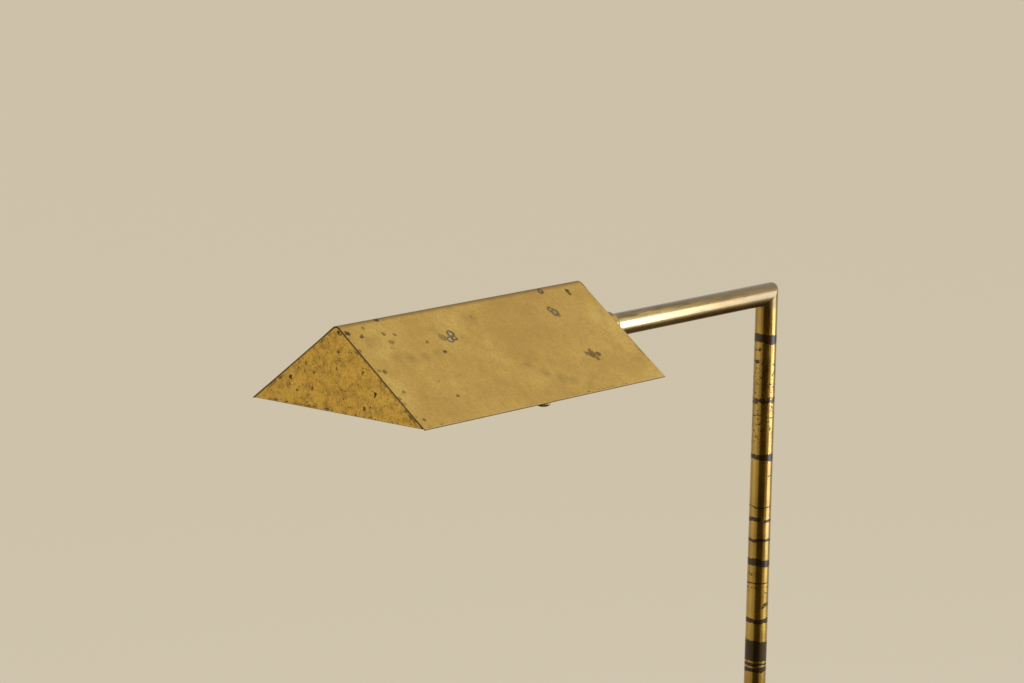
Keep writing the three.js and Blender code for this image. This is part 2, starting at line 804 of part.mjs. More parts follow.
lamp.add(
  part("base_cover", baseCover(), "agedBrass"),
  part("base_weight", baseWeight(), "castIron"),
  part("base_felt", upright(felt, fineSides), "felt"),
  part("cord_bushing", cordBushing(), "phenolic"),
  part("column_nipple", upright(columnNipple), "zincSteel"),
  part("base_washer", upright(baseWasher), "zincSteel"),
  part("base_lock_nut", baseNut.translate(0, 0, baseNutFrom), "zincSteel"),
  part("column_ferrule", columnFerrule(), "turnedBrass"),
  part("column_foot_plug", upright(footPlug), "turnedBrass"),
  part("column_tube", upright(tube(columnRadius, columnBore, columnFoot, columnTop)), "polishedBrass"),
  part("collet_body", colletBody(), "turnedBrass"),
  part("collar_nut", collarNut(), "turnedBrass"),
  part("stem_end_plug", stemEndPlug(), "turnedBrass"),
  part("stem_guide_bush", stemGuideBush(), "nylon"),
  part("stem_tube", stemTube(), "polishedBrass"),
  part("arm_tube", armTube(), "polishedBrass"),
  part("arm_end_bush", armEndBush(), "turnedBrass"),
  part("lead_column", leadAlong(leadInletEnd, [0, leadHeight], [0, leadJoint]), "leadJacket"),
  part("lead_stem", leadAlong([0, stemFoot], [0, armHeight], leadArmEnd), "leadJacket"),
  shadeHead(),
);

export default lamp;
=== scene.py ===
import json
import math
from functools import partial

import bmesh
import bpy
import numpy as np
from mathutils import Matrix, Vector


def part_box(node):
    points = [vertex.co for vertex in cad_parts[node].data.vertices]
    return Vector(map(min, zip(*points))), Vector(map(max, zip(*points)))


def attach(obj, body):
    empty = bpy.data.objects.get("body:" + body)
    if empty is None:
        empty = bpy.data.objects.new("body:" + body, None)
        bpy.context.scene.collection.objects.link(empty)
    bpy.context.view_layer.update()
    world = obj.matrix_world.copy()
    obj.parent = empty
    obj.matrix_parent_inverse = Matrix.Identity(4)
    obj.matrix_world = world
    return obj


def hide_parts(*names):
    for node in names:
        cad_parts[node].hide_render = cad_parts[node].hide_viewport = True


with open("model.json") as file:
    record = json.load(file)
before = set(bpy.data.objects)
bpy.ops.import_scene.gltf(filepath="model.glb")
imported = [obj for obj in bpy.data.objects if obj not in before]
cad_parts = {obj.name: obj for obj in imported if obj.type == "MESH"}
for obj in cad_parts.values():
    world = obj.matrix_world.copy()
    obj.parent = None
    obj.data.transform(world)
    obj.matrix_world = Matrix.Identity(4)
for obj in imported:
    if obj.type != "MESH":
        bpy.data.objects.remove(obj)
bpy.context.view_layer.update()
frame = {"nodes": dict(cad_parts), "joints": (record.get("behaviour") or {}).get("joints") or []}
mm = 0.001
rng = np.random.default_rng(11)

jointOf = {joint["name"]: joint for joint in frame["joints"]}


def spanOf(node):
    # the node's lowest and highest corners, in mm
    low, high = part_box(node)
    return np.array(low) / mm, np.array(high) / mm


def alongSpan(node):
    # from where to where a node lies along the arm, in mm from the stem's axis
    low, high = spanOf(node)
    return -high[1], -low[1]


# The arm's axis, the tubes and the shade, worked out from the frame; lengths in mm
armAxis = jointOf["shade_turn"]["pos_m"][2] / mm
restTurn = math.asin(jointOf["switch_turn"]["axis"][0])  # how far the shade stands turned, in radians
stemRadius = spanOf("arm_tube")[1][0]
columnRadius = spanOf("column_tube")[1][0]
shadeRear, shadeFront = alongSpan("shade_canopy")
shade = {
    "rear": shadeRear,
    "front": shadeFront,
    "width": 152.4,
    "height": 56.5,  # open edge to where the slopes would meet
    "rimBelowAxis": 20.0,
    "sheet": 0.8,
    "plate": 1.0,
    "plateGap": 0.3,
    "foldRadius": 5.5,
}

# The camera, fitted to the lamp's edges: degrees, mm of lens and sensor, and metres
view = {
    "azimuth": 42.146,
    "pitch": 11.513,
    "roll": 0.997,
    "lens": 126.61,
    "sensor": 36.0,
    "place": (1.55544, -1.98804, 1.65917),
}


def makeCamera():
    camera = bpy.data.objects.new("camera", bpy.data.cameras.new("camera"))
    camera.data.lens = view["lens"]
    camera.data.sensor_width = view["sensor"]
    turn = (
        Matrix.Rotation(math.radians(view["azimuth"]), 4, "Z")
        @ Matrix.Rotation(math.radians(90 - view["pitch"]), 4, "X")
        @ Matrix.Rotation(math.radians(view["roll"]), 4, "Z")
    )
    camera.matrix_world = Matrix.Translation(Vector(view["place"])) @ turn
    bpy.context.scene.collection.objects.link(camera)
    bpy.context.scene.camera = camera


makeCamera()
bpy.context.scene.view_settings.view_transform = "Standard"
print("camera set")


def linear(hexColour, alpha=1.0):
    # sRGB hex to linear light
    parts = np.array([int(hexColour[i : i + 2], 16) for i in (1, 3, 5)]) / 255
    low = parts / 12.92
    high = ((parts + 0.055) / 1.055) ** 2.4
    return (*np.where(parts <= 0.04045, low, high), alpha)


def addNode(tree, kind, links=(), **settings):
    # links: a list of inputs in order, or input name or number -> input; each is a value, a node (its
    # first output) or (node, output). MapRange takes the value, the two ends it comes from and the two
    # it goes to, and Mix the share at 0 and two colours at 6 and 7, or two vectors at 4 and 5
    node = tree.nodes.new("ShaderNode" + kind)
    stops = settings.pop("stops", [])
    for key, value in settings.items():
        setattr(node, key, value)
    for i, (place, colour) in enumerate(stops):
        elements = node.color_ramp.elements
        element = elements[i] if i < 2 else elements.new(place)
        element.position = place
        element.color = linear(colour)
    for key, value in links.items() if isinstance(links, dict) else enumerate(links):
        if isinstance(value, bpy.types.Node):
            value = (value, 0)
        if isinstance(value, tuple) and isinstance(value[0], bpy.types.Node):
            tree.links.new(value[0].outputs[value[1]], node.inputs[key])
        else:
            node.inputs[key].default_value = value
    return node


def perMetre(sizeMm):
    # a pattern's scale on object coordinates from its real size
    return 1000.0 / sizeMm


def newMaterial(name, **settings):
    # settings: what is the same all over, by the shader's socket names with _ for a space; gives
    # addNode for this material's tree, and the place that patterns keep to, in metres
    material = bpy.data.materials.new(name)
    material.use_nodes = True
    shader = material.node_tree.nodes["Principled BSDF"]
    for socket, value in settings.items():
        shader.inputs[socket.replace("_", " ")].default_value = value
    add = partial(addNode, material.node_tree)
    return material, add, (add("TexCoord"), "Object")


def wire(material, add, tone, tints, roughness, height, strength, depth):
    # lays each tint over the tone by its share, in order, and joins colour, roughness and a relief
    # of so many mm
    colour = (tone, 0)
    for share, tint in tints:
        colour = (add("Mix", {0: share, 6: colour, 7: linear(tint)}, data_type="RGBA"), 2)
    bump = add("Bump", {"Height": height, "Strength": strength, "Distance": depth * mm})
    tree = material.node_tree
    sockets = {"Base Color": colour, "Roughness": (roughness, 0), "Normal": (bump, 0)}
    for socket, (node, output) in sockets.items():
        tree.links.new(node.outputs[output], tree.nodes["Principled BSDF"].inputs[socket])
    return material


def headPoint(across, along, above):
    # a place in the turned head: across and above turn about the arm's axis, along runs down the arm
    c, s = math.cos(restTurn), math.sin(restTurn)
    across, along, above = np.broadcast_arrays(across, along, above)
    return np.stack([across * c - above * s, -along, armAxis + across * s + above * c], -1)


slope = np.array([shade["width"] / 2, -shade["height"]])
slopeLength = np.linalg.norm(slope)
slopeDown = slope / slopeLength
slopeOut = np.array([-slopeDown[1], slopeDown[0]])
ridgeAbove = shade["height"] - shade["rimBelowAxis"]
foldHalf = math.atan2(slopeOut[0], slopeOut[1])
foldCentre = ridgeAbove - shade["foldRadius"] / slopeOut[1]

# Tarnish spots on the right-hand slope: mm along from the rear, mm down from the ridge, radius in mm,
# how dark, and, for some, how pale the heart has gone
panelSpots = [
    (146.0, 24.8, 3.4, 0.72, 1.0), (149.5, 29.4, 3.2, 0.7, 1.0), (145.4, 29.0, 2.2, 0.7, 0.8),
    (154.0, 26.8, 3.2, 0.5), (45.3, 24.2, 3.9, 0.68, 0.8), (47.0, 20.9, 2.6, 0.7, 0.8),
    (44.9, 64.3, 3.4, 0.66), (39.7, 65.0, 2.1, 0.66), (49.0, 62.4, 1.9, 0.62),
    (44.2, 60.6, 1.6, 0.62), (43.0, 68.6, 1.7, 0.6), (42.3, 4.6, 2.6, 0.8, 0.7),
    (18.9, 8.8, 1.8, 0.8), (18.4, 11.2, 1.4, 0.75), (162.2, 38.0, 1.6, 0.75),
    (181.6, 74.3, 1.5, 0.65), (198.0, 22.3, 2.2, 0.5), (200.6, 26.6, 1.3, 0.4, 0.9),
    (169.9, 27.5, 1.4, 0.6), (222.0, 44.2, 1.9, 0.65), (225.4, 43.0, 1.3, 0.55, 0.5),
    (198.8, 14.4, 1.5, 0.65), (190.3, 17.4, 1.3, 0.6), (217.1, 14.0, 1.7, 0.75),
    (226.2, 9.0, 2.0, 0.85), (195.1, 2.4, 2.0, 0.85), (210.6, 7.0, 1.2, 0.55),
    (227.6, 67.0, 1.5, 0.55), (227.6, 72.0, 1.4, 0.5, 0.8), (220.5, 62.9, 1.4, 0.55),
    (222.5, 86.9, 1.4, 0.65), (227.4, 24.4, 1.3, 0.6), (118.3, 14.2, 1.1, 0.45),
]
# Soft dark patches of painted shade there, standing in for dents that darken the sheet's reflection: along,
# down, radius, how dark
panelShadeSmudges = [
    (105.8, 62.2, 5.5, 0.26), (96.8, 71.5, 6.0, 0.3), (87.5, 77.6, 6.0, 0.3), (78.5, 82.4, 5.5, 0.26),
    (69.9, 91.0, 5.0, 0.22), (203.0, 35.0, 6.0, 0.3), (193.0, 38.4, 7.0, 0.34), (180.5, 39.6, 6.0, 0.3),
    (168.5, 38.6, 5.0, 0.26), (212.0, 20.0, 9.0, 0.25), (158.0, 20.0, 7.0, 0.2), (120.0, 16.0, 8.0, 0.18),
]
# Spots on the front plate: across, above the arm's axis, radius, how dark
plateSpots = [
    (-41.1, -2.4, 1.4, 0.85), (-42.0, -6.6, 0.9, 0.7), (33.9, -3.6, 1.4, 0.95),
    (1.6, 31.4, 1.4, 0.9), (4.0, 30.4, 0.9, 0.8), (-27.2, 8.4, 1.1, 0.7),
    (23.2, 8.6, 1.1, 0.7), (-21.6, -7.6, 1.1, 0.7), (24.2, -14.1, 1.3, 0.75),
    (5.4, -10.3, 1.0, 0.65), (1.4, 19.0, 1.0, 0.65), (-0.5, 8.6, 1.0, 0.65),
]


def panelPlace(along, down):
    return headPoint(down * slopeDown[0], shade["rear"] + along, ridgeAbove + down * slopeDown[1])


def sheetBrass(name, look, spots, shadeSmudges):
    # Rolled brass sheet under old lacquer: a satin yellow-brown metal, clouded unevenly, with dark
    # specks and, where the lacquer broke, brown tarnish spots, some with a whitish heart; with painted
    # shade in soft dark patches, along the fold and at the very edge
    material, add, place = newMaterial(name, Metallic=0.85)
    # wide clouds, mottling, fine grit and ragged outlines: size in mm, detail, roughness
    patterns = ((46, 4, 0.5), (look["mottleSize"], 6, 0.65), (1.5, 3, 0.6), (2.6, 4, 0.65))
    cloud, mottle, grit, ragged = [
        add("TexNoise", {"Vector": place, "Scale": perMetre(size), "Detail": detail, "Roughness": rough})
        for size, detail, rough in patterns
    ]
    tone = add("ValToRGB", [cloud], stops=list(zip((0.3, 0.7, 0.52), look["tones"])))
    clouding = add("MapRange", [mottle, 0.44, 0.72, 0.0, look["mottling"]])
    grain = add("MapRange", [grit, 0.4, 0.68, 0.0, look["grain"]])

    # specks: the hearts of random cells, of which only some cells have one
    dark = 0.0
    for cell, size, kept in look["specks"]:
        cells = add("TexVoronoi", {"Vector": place, "Scale": perMetre(cell)})
        chance = add("SeparateColor", [(cells, "Color")])
        reach = add("MapRange", [chance, 1 - kept, 1.0, 0.0, size])
        gap = add("Math", [(cells, "Distance"), reach], operation="SUBTRACT")
        speck = add("MapRange", [gap, -0.03, 0.04, look["speckDepth"], 0.0])
        dark = add("Math", [dark, speck], operation="MAXIMUM")
    thick = add("MapRange", [mottle, 0.36, 0.56, 0.45])
    dark = add("Math", [dark, thick], operation="MULTIPLY")

    # grey nicks in the lacquer beside the edges
    rim = add("Attribute", attribute_name="nearRim")
    nearby = add("MapRange", [(rim, 2), 0.05, 0.5, 0.0, 0.32])
    nick = add("Math", [mottle, nearby], operation="ADD")
    nick = add("MapRange", [nick, 0.82, 0.9, 0.0, 0.6])
    dark = add("Math", [dark, nick], operation="MAXIMUM")

    # the fold and the edges: brown in the fold, partly tarnish and partly painted shade where the curved
    # fold reflects darker; bare worn metal beside the edges; and the very edge dark, partly tarnish and
    # partly painted shade on the sheet's cut edge
    fold = add("Attribute", attribute_name="nearFold")
    brown = add("MapRange", [(fold, 2), 0.5, 0.95, 0.0, 0.8])
    broken = add("MapRange", [mottle, 0.45, 0.55, 0.05 * look["worn"], look["worn"]])
    worn = add("MapRange", [(rim, 2), 0.55, 0.75])
    worn = add("Math", [worn, broken], operation="MULTIPLY")
    edge = add("MapRange", [(rim, 2), 0.84, 0.96, 0.0, 0.75])
    tints = [
        (clouding, look["mottle"]), (grain, look["mottle"]), (dark, "#4A3312"),
        (brown, "#5F431A"), (worn, "#DDBB6E"), (edge, "#4E3A1A"),
    ]

    # painted shade: soft dark patches, torn at their edges, where dents would darken the reflection
    torn = add("MapRange", [mottle, 0.35, 0.65, 0.75, 1.15])
    for centre, radius, depth in shadeSmudges:
        gap = add("VectorMath", [place, tuple(centre * mm)], operation="DISTANCE")
        soft = add("MapRange", [(gap, 1), 0.0, radius * mm, depth, 0.0])
        tints.append((add("Math", [soft, torn], operation="MULTIPLY"), "#5E4A28"))

    # spots: each is a ball about its centre, which the ragged noise pushes out of round
    darkness, paleness = 0.0, 0.0
    push = 5.0 * mm
    shift = add("VectorMath", [(ragged, 1), (0.5, 0.5, 0.5)], operation="SUBTRACT")
    moved = add("VectorMath", [shift, (push,) * 3, place], operation="MULTIPLY_ADD")
    for centre, radius, depth, *heart in spots:
        gap = add("VectorMath", [moved, tuple(centre * mm)], operation="DISTANCE")
        size = radius * mm
        spot = add("MapRange", [(gap, 1), 0.8 * size, 1.2 * size, depth, 0.0])
        darkness = add("Math", [darkness, spot], operation="MAXIMUM")
        if heart:
            pale = add("MapRange", [(gap, 1), 0.2 * size, 0.55 * size, heart[0], 0.0])
            paleness = add("Math", [paleness, pale], operation="MAXIMUM")
    flecks = add("MapRange", [grit, 0.42, 0.52, 0.3])
    paleness = add("Math", [paleness, flecks], operation="MULTIPLY")
    tints += [(darkness, "#4A3A20"), (paleness, "#CFC6AC")]

    # the fold is duller, and stains are dull and a little sunk
    rough = add("MapRange", [cloud, 0.3, 0.7, look["gloss"][0], look["gloss"][1]])
    duller = add("Math", [darkness, dark], operation="MAXIMUM")
    rough = add("Math", [brown, 0.25, rough], operation="MULTIPLY_ADD")
    rough = add("Math", [rough, duller], operation="MAXIMUM")
    height = add("Math", [duller, -0.6, grit], operation="MULTIPLY_ADD")
    return wire(material, add, tone, tints, rough, height, strength=0.5, depth=0.03)


# Tarnish rings left by the collar on the stem: mm below the arm's axis, half height, how whole,
# and which side they are on: -1 left as one faces the lamp, 1 right, 0 all round
stemRings = [
    (75, 40, 0.47, 0), (31.4, 3.0, 0.95, 0), (40, 1.8, 0.55, -1), (47, 1.4, 0.6, -1), (52.5, 4.0, 0.45, 1),
    (59, 0.4, 0.4, 0), (65, 0.5, 0.55, 1), (76.5, 3.2, 0.62, 0), (88, 0.5, 0.66, 0), (105, 3.6, 0.46, 0),
    (117.8, 2.6, 0.85, 0), (132, 0.4, 0.6, 1), (153.6, 0.6, 0.7, 0), (163.2, 2.2, 0.85, -1),
    (165.5, 1.4, 0.7, 1), (178.4, 1.0, 0.9, 0), (196, 3.0, 0.9, 0), (206, 3.6, 0.5, -1), (212, 0.5, 0.7, 0),
    (215, 0.4, 0.6, 0), (218, 0.3, 0.45, 0), (227, 3.2, 0.6, 1), (239, 2.0, 0.88, 0), (262.1, 7.9, 1.3, 0),
    (272.2, 0.9, 1.1, 0), (276.1, 1.5, 1.2, 0),
]
rightward = (0.74, 0.67, 0.0)  # across the stem, for one who faces the rings


def tubeBrass(name, rings):
    # Drawn and polished brass tube under lacquer, gone brown in streaks along it; with rings, it is
    # also nearly black where a collar stood, dark olive on top of the arm, partly as painted shade, and
    # hazy at the mitre
    material, add, place = newMaterial(name, Metallic=1.0, Coat_Weight=0.6, Coat_Roughness=0.1)
    parts = add("SeparateXYZ", [place])
    # streaks are ten times as long as wide, up the stem and along the arm
    upright = add("Mapping", {0: place, 3: (1.0, 1.0, 0.1)})
    level = add("Mapping", {0: place, 3: (1.0, 0.1, 1.0)})
    onArm = add("MapRange", [(parts, 1), -(stemRadius + 1) * mm, -(stemRadius - 1) * mm, 1.0, 0.0])
    grainPlace = (add("Mix", {0: onArm, 4: upright, 5: level}, data_type="VECTOR"), 1)
    # clouds, streaks, and the rings' waves and ragged outlines: size in mm, detail, roughness
    patterns = [(place, 24, 4, 0.5), (grainPlace, 2.2, 5, 0.65)]
    if rings:
        patterns += [(place, 12, 2, 0.5), (place, 2.4, 5, 0.7)]
    cloud, streak, *outlines = [
        add("TexNoise", {"Vector": over, "Scale": perMetre(size), "Detail": detail, "Roughness": rough})
        for over, size, detail, rough in patterns
    ]
    tone = add("ValToRGB", [cloud], stops=[(0.3, "#9C7C2A"), (0.7, "#BF9E48"), (0.5, "#AF8D36")])
    below = add("Math", [armAxis * mm, (parts, 2)], operation="SUBTRACT")
    # the streaks thin out from 90 to 150 mm below the arm
    near = add("MapRange", [below, 90 * mm, 150 * mm, 0.85, 0.4])
    dull = add("MapRange", [streak, 0.46, 0.66, 0.0, near])
    tints = [(dull, "#6B4A18")]
    rough = add("MapRange", [cloud, 0.35, 0.65, 0.22, 0.28])
    mark = 0.0
    if rings:
        wave, ragged = outlines
        # the rings wander up and down, and their ends to left or right are soft
        lift = add("MapRange", [wave, 0.3, 0.7, -1.4 * mm, 1.4 * mm])
        ringDepth = add("Math", [below, lift], operation="ADD")
        across = add("VectorMath", [place, rightward], operation="DOT_PRODUCT")
        right = add("MapRange", [(across, 1), -1.5 * mm, 3.0 * mm])
        left = add("Math", [1.0, right], operation="SUBTRACT")
        marks = 0.0
        for depth, half, whole, side in rings:
            # whole in the middle, and gone a little beyond its half height
            off = add("Math", [ringDepth, depth * mm], operation="SUBTRACT")
            gap = add("Math", [off], operation="ABSOLUTE")
            band = add("MapRange", [gap, half * 0.6 * mm, (half * 1.25 + 0.4) * mm, whole, 0.0])
            if side:
                band = add("Math", [band, right if side > 0 else left], operation="MULTIPLY")
            marks = add("Math", [marks, band], operation="MAXIMUM")
        torn = add("Math", [ragged, 1.3, marks], operation="MULTIPLY_ADD")
        mark = add("MapRange", [torn, 1.16, 1.27, 0.0, 0.92])

        # the dark top of the arm, ragged along its edge: partly tarnish, partly painted shade
        above = add("Math", [(parts, 2), armAxis * mm], operation="SUBTRACT")
        wander = add("Math", [streak, 4 * mm, above], operation="MULTIPLY_ADD")
        top = add("MapRange", [wander, 6.2 * mm, 9.6 * mm, 0.0, 0.92])

        # a grey-brown haze on the arm towards the mitre, and paler metal towards the shade, partly barer
        # brass and partly a painted highlight
        haze = add("MapRange", [(parts, 1), -160 * mm, -20 * mm, 0.0, 0.75])
        high = add("MapRange", [above, -1.4 * stemRadius * mm, -stemRadius * mm])
        haze = add("Math", [haze, high], operation="MULTIPLY")
        paleAndHighlight = add("MapRange", [(parts, 1), -60 * mm, -160 * mm, 0.0, 0.65])
        bare = add("MapRange", [top, 0.0, 0.5, 1.0, 0.0])
        paleAndHighlight = add("Math", [paleAndHighlight, bare], operation="MULTIPLY")
        tints += [(mark, "#1E1208"), (top, "#4E3C1A"), (haze, "#7E6A42"), (paleAndHighlight, "#D8C68E")]
        for share, duller in ((mark, 0.26), (top, 0.35), (haze, 0.12)):
            rough = add("Math", [share, duller, rough], operation="MULTIPLY_ADD")
    height = add("Math", [mark, -1.0, streak], operation="MULTIPLY_ADD")
    return wire(material, add, tone, tints, rough, height, strength=0.2, depth=0.02)


def turnedBrass(name, tones, grainSize, gloss):
    # Brass turned on a lathe and lacquered: bright, with brown stains in the grain and dark olive on
    # whatever faces up, partly tarnish and partly painted shade
    material, add, place = newMaterial(name, Metallic=1.0, Coat_Weight=0.25, Coat_Roughness=0.15)
    size = perMetre(grainSize)
    grain = add("TexNoise", {"Vector": place, "Scale": size, "Detail": 6.0, "Roughness": 0.65})
    fine = add("TexNoise", {"Vector": place, "Scale": perMetre(0.9), "Detail": 2.0})
    tone = add("ValToRGB", [grain], stops=list(zip((0.35, 0.62), tones)))
    # painted shade, with tarnish: darker on whatever faces up
    up = add("Attribute", attribute_name="topSide")
    above = add("Math", [grain, 0.3, (up, 2)], operation="MULTIPLY_ADD")
    brown = add("MapRange", [above, 0.86, 1.08, 0.0, 0.85])
    rough = add("MapRange", [grain, 0.3, 0.7, gloss[0], gloss[1]])
    return wire(material, add, tone, [(brown, "#4A3516")], rough, fine, strength=0.25, depth=0.02)


def spunBrass(name):
    # Brass sheet spun on a lathe: satin, with faint rings of the spinning tool and clouded lacquer
    material, add, place = newMaterial(name, Metallic=0.95, Coat_Weight=0.4, Coat_Roughness=0.2)
    parts = add("SeparateXYZ", [place])
    level = add("CombineXYZ", [(parts, 0), (parts, 1)])
    radius = (add("VectorMath", [level], operation="LENGTH"), 1)
    ring = {"W": radius, "Scale": perMetre(1.4), "Detail": 3.0}
    lines = add("TexNoise", ring, noise_dimensions="1D")
    wide = {"Vector": place, "Scale": perMetre(38), "Detail": 5.0, "Roughness": 0.6}
    cloud = add("TexNoise", wide)
    tone = add("ValToRGB", [cloud], stops=[(0.3, "#A4803A"), (0.7, "#C8A65C"), (0.5, "#B99549")])
    cells = add("TexVoronoi", {"Vector": place, "Scale": perMetre(5)})
    speck = add("MapRange", [(cells, "Distance"), 0.07, 0.15, 0.6, 0.0])
    rim = add("Attribute", attribute_name="nearRim")
    edge = add("MapRange", [(rim, 2), 0.3, 0.9, 0.0, 0.6])
    rough = add("MapRange", [cloud, 0.3, 0.7, 0.28, 0.4])
    tints = [(speck, "#54401E"), (edge, "#6A5024")]
    return wire(material, add, tone, tints, rough, lines, strength=0.3, depth=0.05)


def plainFinish(name, tones, grainSize, gloss, depth, settings):
    # one even material: its tone and gloss vary over a grain of a real size and depth, and metals
    # vary a little less
    metal = "Metallic" in settings
    detail, roughness, spread, strength = (5.0, 0.6, 0.15, 0.4) if metal else (6.0, 0.65, 0.2, 0.5)
    material, add, place = newMaterial(name, **settings)
    size = perMetre(grainSize)
    grain = add("TexNoise", {"Vector": place, "Scale": size, "Detail": detail, "Roughness": roughness})
    tone = add("ValToRGB", [grain], stops=list(zip((0.5 - spread, 0.5 + spread), tones)))
    rough = add("MapRange", [grain, 0.3, 0.7, gloss[0], gloss[1]])
    return wire(material, add, tone, [], rough, grain, strength, depth)


panelMarks = [(panelPlace(along, down), *rest) for along, down, *rest in panelSpots]
shadeSmudgeMarks = [(panelPlace(along, down), *rest) for along, down, *rest in panelShadeSmudges]
plateMarks = [(headPoint(across, shade["front"], above), *rest) for across, above, *rest in plateSpots]
# specks: the cells' size in mm, the specks' size in cells, and the share of cells that have one
sheetLook = {
    "tones": ("#B58F41", "#CFAE5B", "#C39F4D"), "mottle": "#94722F", "mottleSize": 8, "mottling": 0.32,
    "grain": 0.38, "gloss": (0.36, 0.46), "worn": 0.7,
    "specks": [(6.0, 0.1, 0.4), (2.6, 0.1, 0.3)], "speckDepth": 0.5,
}
plateLook = {
    "tones": ("#C3983C", "#D9B04E", "#CFA444"), "mottle": "#735A26", "mottleSize": 5, "mottling": 0.7,
    "grain": 0.4, "gloss": (0.38, 0.5), "worn": 0.3,
    "specks": [(5.0, 0.16, 0.8), (2.6, 0.22, 0.8), (1.5, 0.26, 0.7)], "speckDepth": 0.85,
}
finish = {
    # satin and yellow-brown, softly clouded, with scattered tarnish spots and patches of painted shade
    "shadeSheet": sheetBrass("aged_sheet_brass", sheetLook, panelMarks, shadeSmudgeMarks),
    # deeper yellow, mottled, and peppered all over with dark specks
    "plateSheet": sheetBrass("speckled_sheet_brass", plateLook, plateMarks, ()),
    # satin, with fine rings round the middle that break up a highlight
    "baseSheet": spunBrass("spun_base_brass"),
    # glossy, with long narrow highlights that dark rings cut across
    "stemTube": tubeBrass("drawn_tube_brass_ringed", stemRings),
    # glossy and streaked, with no rings
    "columnTube": tubeBrass("drawn_tube_brass", []),
    # bright and warm, darker on top, partly dust and partly painted shade
    "turned": turnedBrass("turned_brass", ("#A07C36", "#CCAA58"), 7, (0.22, 0.34)),
    # browner and duller, as handled brass goes
    "knob": turnedBrass("dark_turned_brass", ("#86622A", "#B08C44"), 4, (0.28, 0.4)),
}
# Even finishes: name, two tones, grain in mm, gloss, relief in mm, and what is the same all over
metallic = {"Metallic": 1.0}
evenFinishes = {
    # nearly black, dull and pitted
    "iron": ("cast_iron", ("#2C2C2E", "#47474A"), 2.5, (0.6, 0.8), 0.15, metallic),
    # cool pale grey, softly shining
    "zinc": ("zinc_plated_steel", ("#9A9B98", "#BDBEBB"), 3, (0.32, 0.45), 0.01, metallic),
    # light silver grey, a little brighter than zinc
    "capMetal": ("pressed_aluminium", ("#A9ABAC", "#C9CBCB"), 4, (0.28, 0.4), 0.01, metallic),
    # dark green and quite matt, with a pale bloom at a low angle
    "felt": ("wool_felt", ("#223027", "#3A4D40"), 1.2, (0.9, 1.0), 0.25, {"Sheen_Weight": 0.4}),
    # dull red-brown, like hard card
    "fibre": ("vulcanised_fibre", ("#3C2A1E", "#573E2C"), 1.5, (0.75, 0.85), 0.05, {}),
    # black, with a clear moulded shine
    "phenolic": ("moulded_phenolic", ("#17130F", "#241D18"), 5, (0.3, 0.4), 0.02, {"IOR": 1.6}),
    # ivory and waxy
    "nylon": ("turned_nylon", ("#DDD7C6", "#EEE9DB"), 3, (0.4, 0.5), 0.02, {"IOR": 1.53}),
    # brown-black and half matt
    "jacket": ("lead_jacket", ("#221D19", "#322B26"), 2, (0.5, 0.6), 0.04, {}),
    # milk white and smooth
    "opal": ("opal_coated_glass", ("#EDE8DA", "#F8F5EC"), 8, (0.18, 0.26), 0.005, {"IOR": 1.52}),
}
finish.update({key: plainFinish(*recipe) for key, recipe in evenFinishes.items()})
print("materials made:", len(finish))


def sealAndShade(obj, sharpDegrees=32):
    # joins doubled points at seams and poles, turns the faces outwards, and shades smooth between edges
    work = bmesh.new()
    work.from_mesh(obj.data)
    bmesh.ops.remove_doubles(work, verts=work.verts, dist=1e-7)
    bmesh.ops.dissolve_degenerate(work, edges=work.edges, dist=1e-8)
    bmesh.ops.recalc_face_normals(work, faces=work.faces)
    work.to_mesh(obj.data)
    work.free()
    obj.data.polygons.foreach_set("use_smooth", np.ones(len(obj.data.polygons), bool))
    obj.data.set_sharp_from_angle(angle=math.radians(sharpDegrees))


def gridMesh(name, grid, closedRows=False, closedColumns=False, **shares):
    # grid is rows x columns x 3 in mm, and each cell becomes one four-sided face; shares are
    # attributes of the same rows and columns that a material reads
    rows, columns = grid.shape[:2]
    number = np.arange(rows * columns).reshape(rows, columns)
    if closedRows:
        number = np.vstack([number, number[:1]])
    if closedColumns:
        number = np.hstack([number, number[:, :1]])
    cells = np.stack([number[:-1, :-1], number[:-1, 1:], number[1:, 1:], number[1:, :-1]], -1)
    mesh = bpy.data.meshes.new(name)
    mesh.from_pydata(grid.reshape(-1, 3) * mm, [], cells.reshape(-1, 4))
    for share, values in shares.items():
        values = np.broadcast_to(values, grid.shape[:2]).astype(np.float32)
        mesh.attributes.new(share, "FLOAT", "POINT").data.foreach_set("value", values.ravel())
    obj = bpy.data.objects.new(name, mesh)
    bpy.context.scene.collection.objects.link(obj)
    return obj


def finishPiece(obj, body, material, nodes):
    obj.data.materials.append(finish[material])
    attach(obj, body)
    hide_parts(*nodes)
    return obj


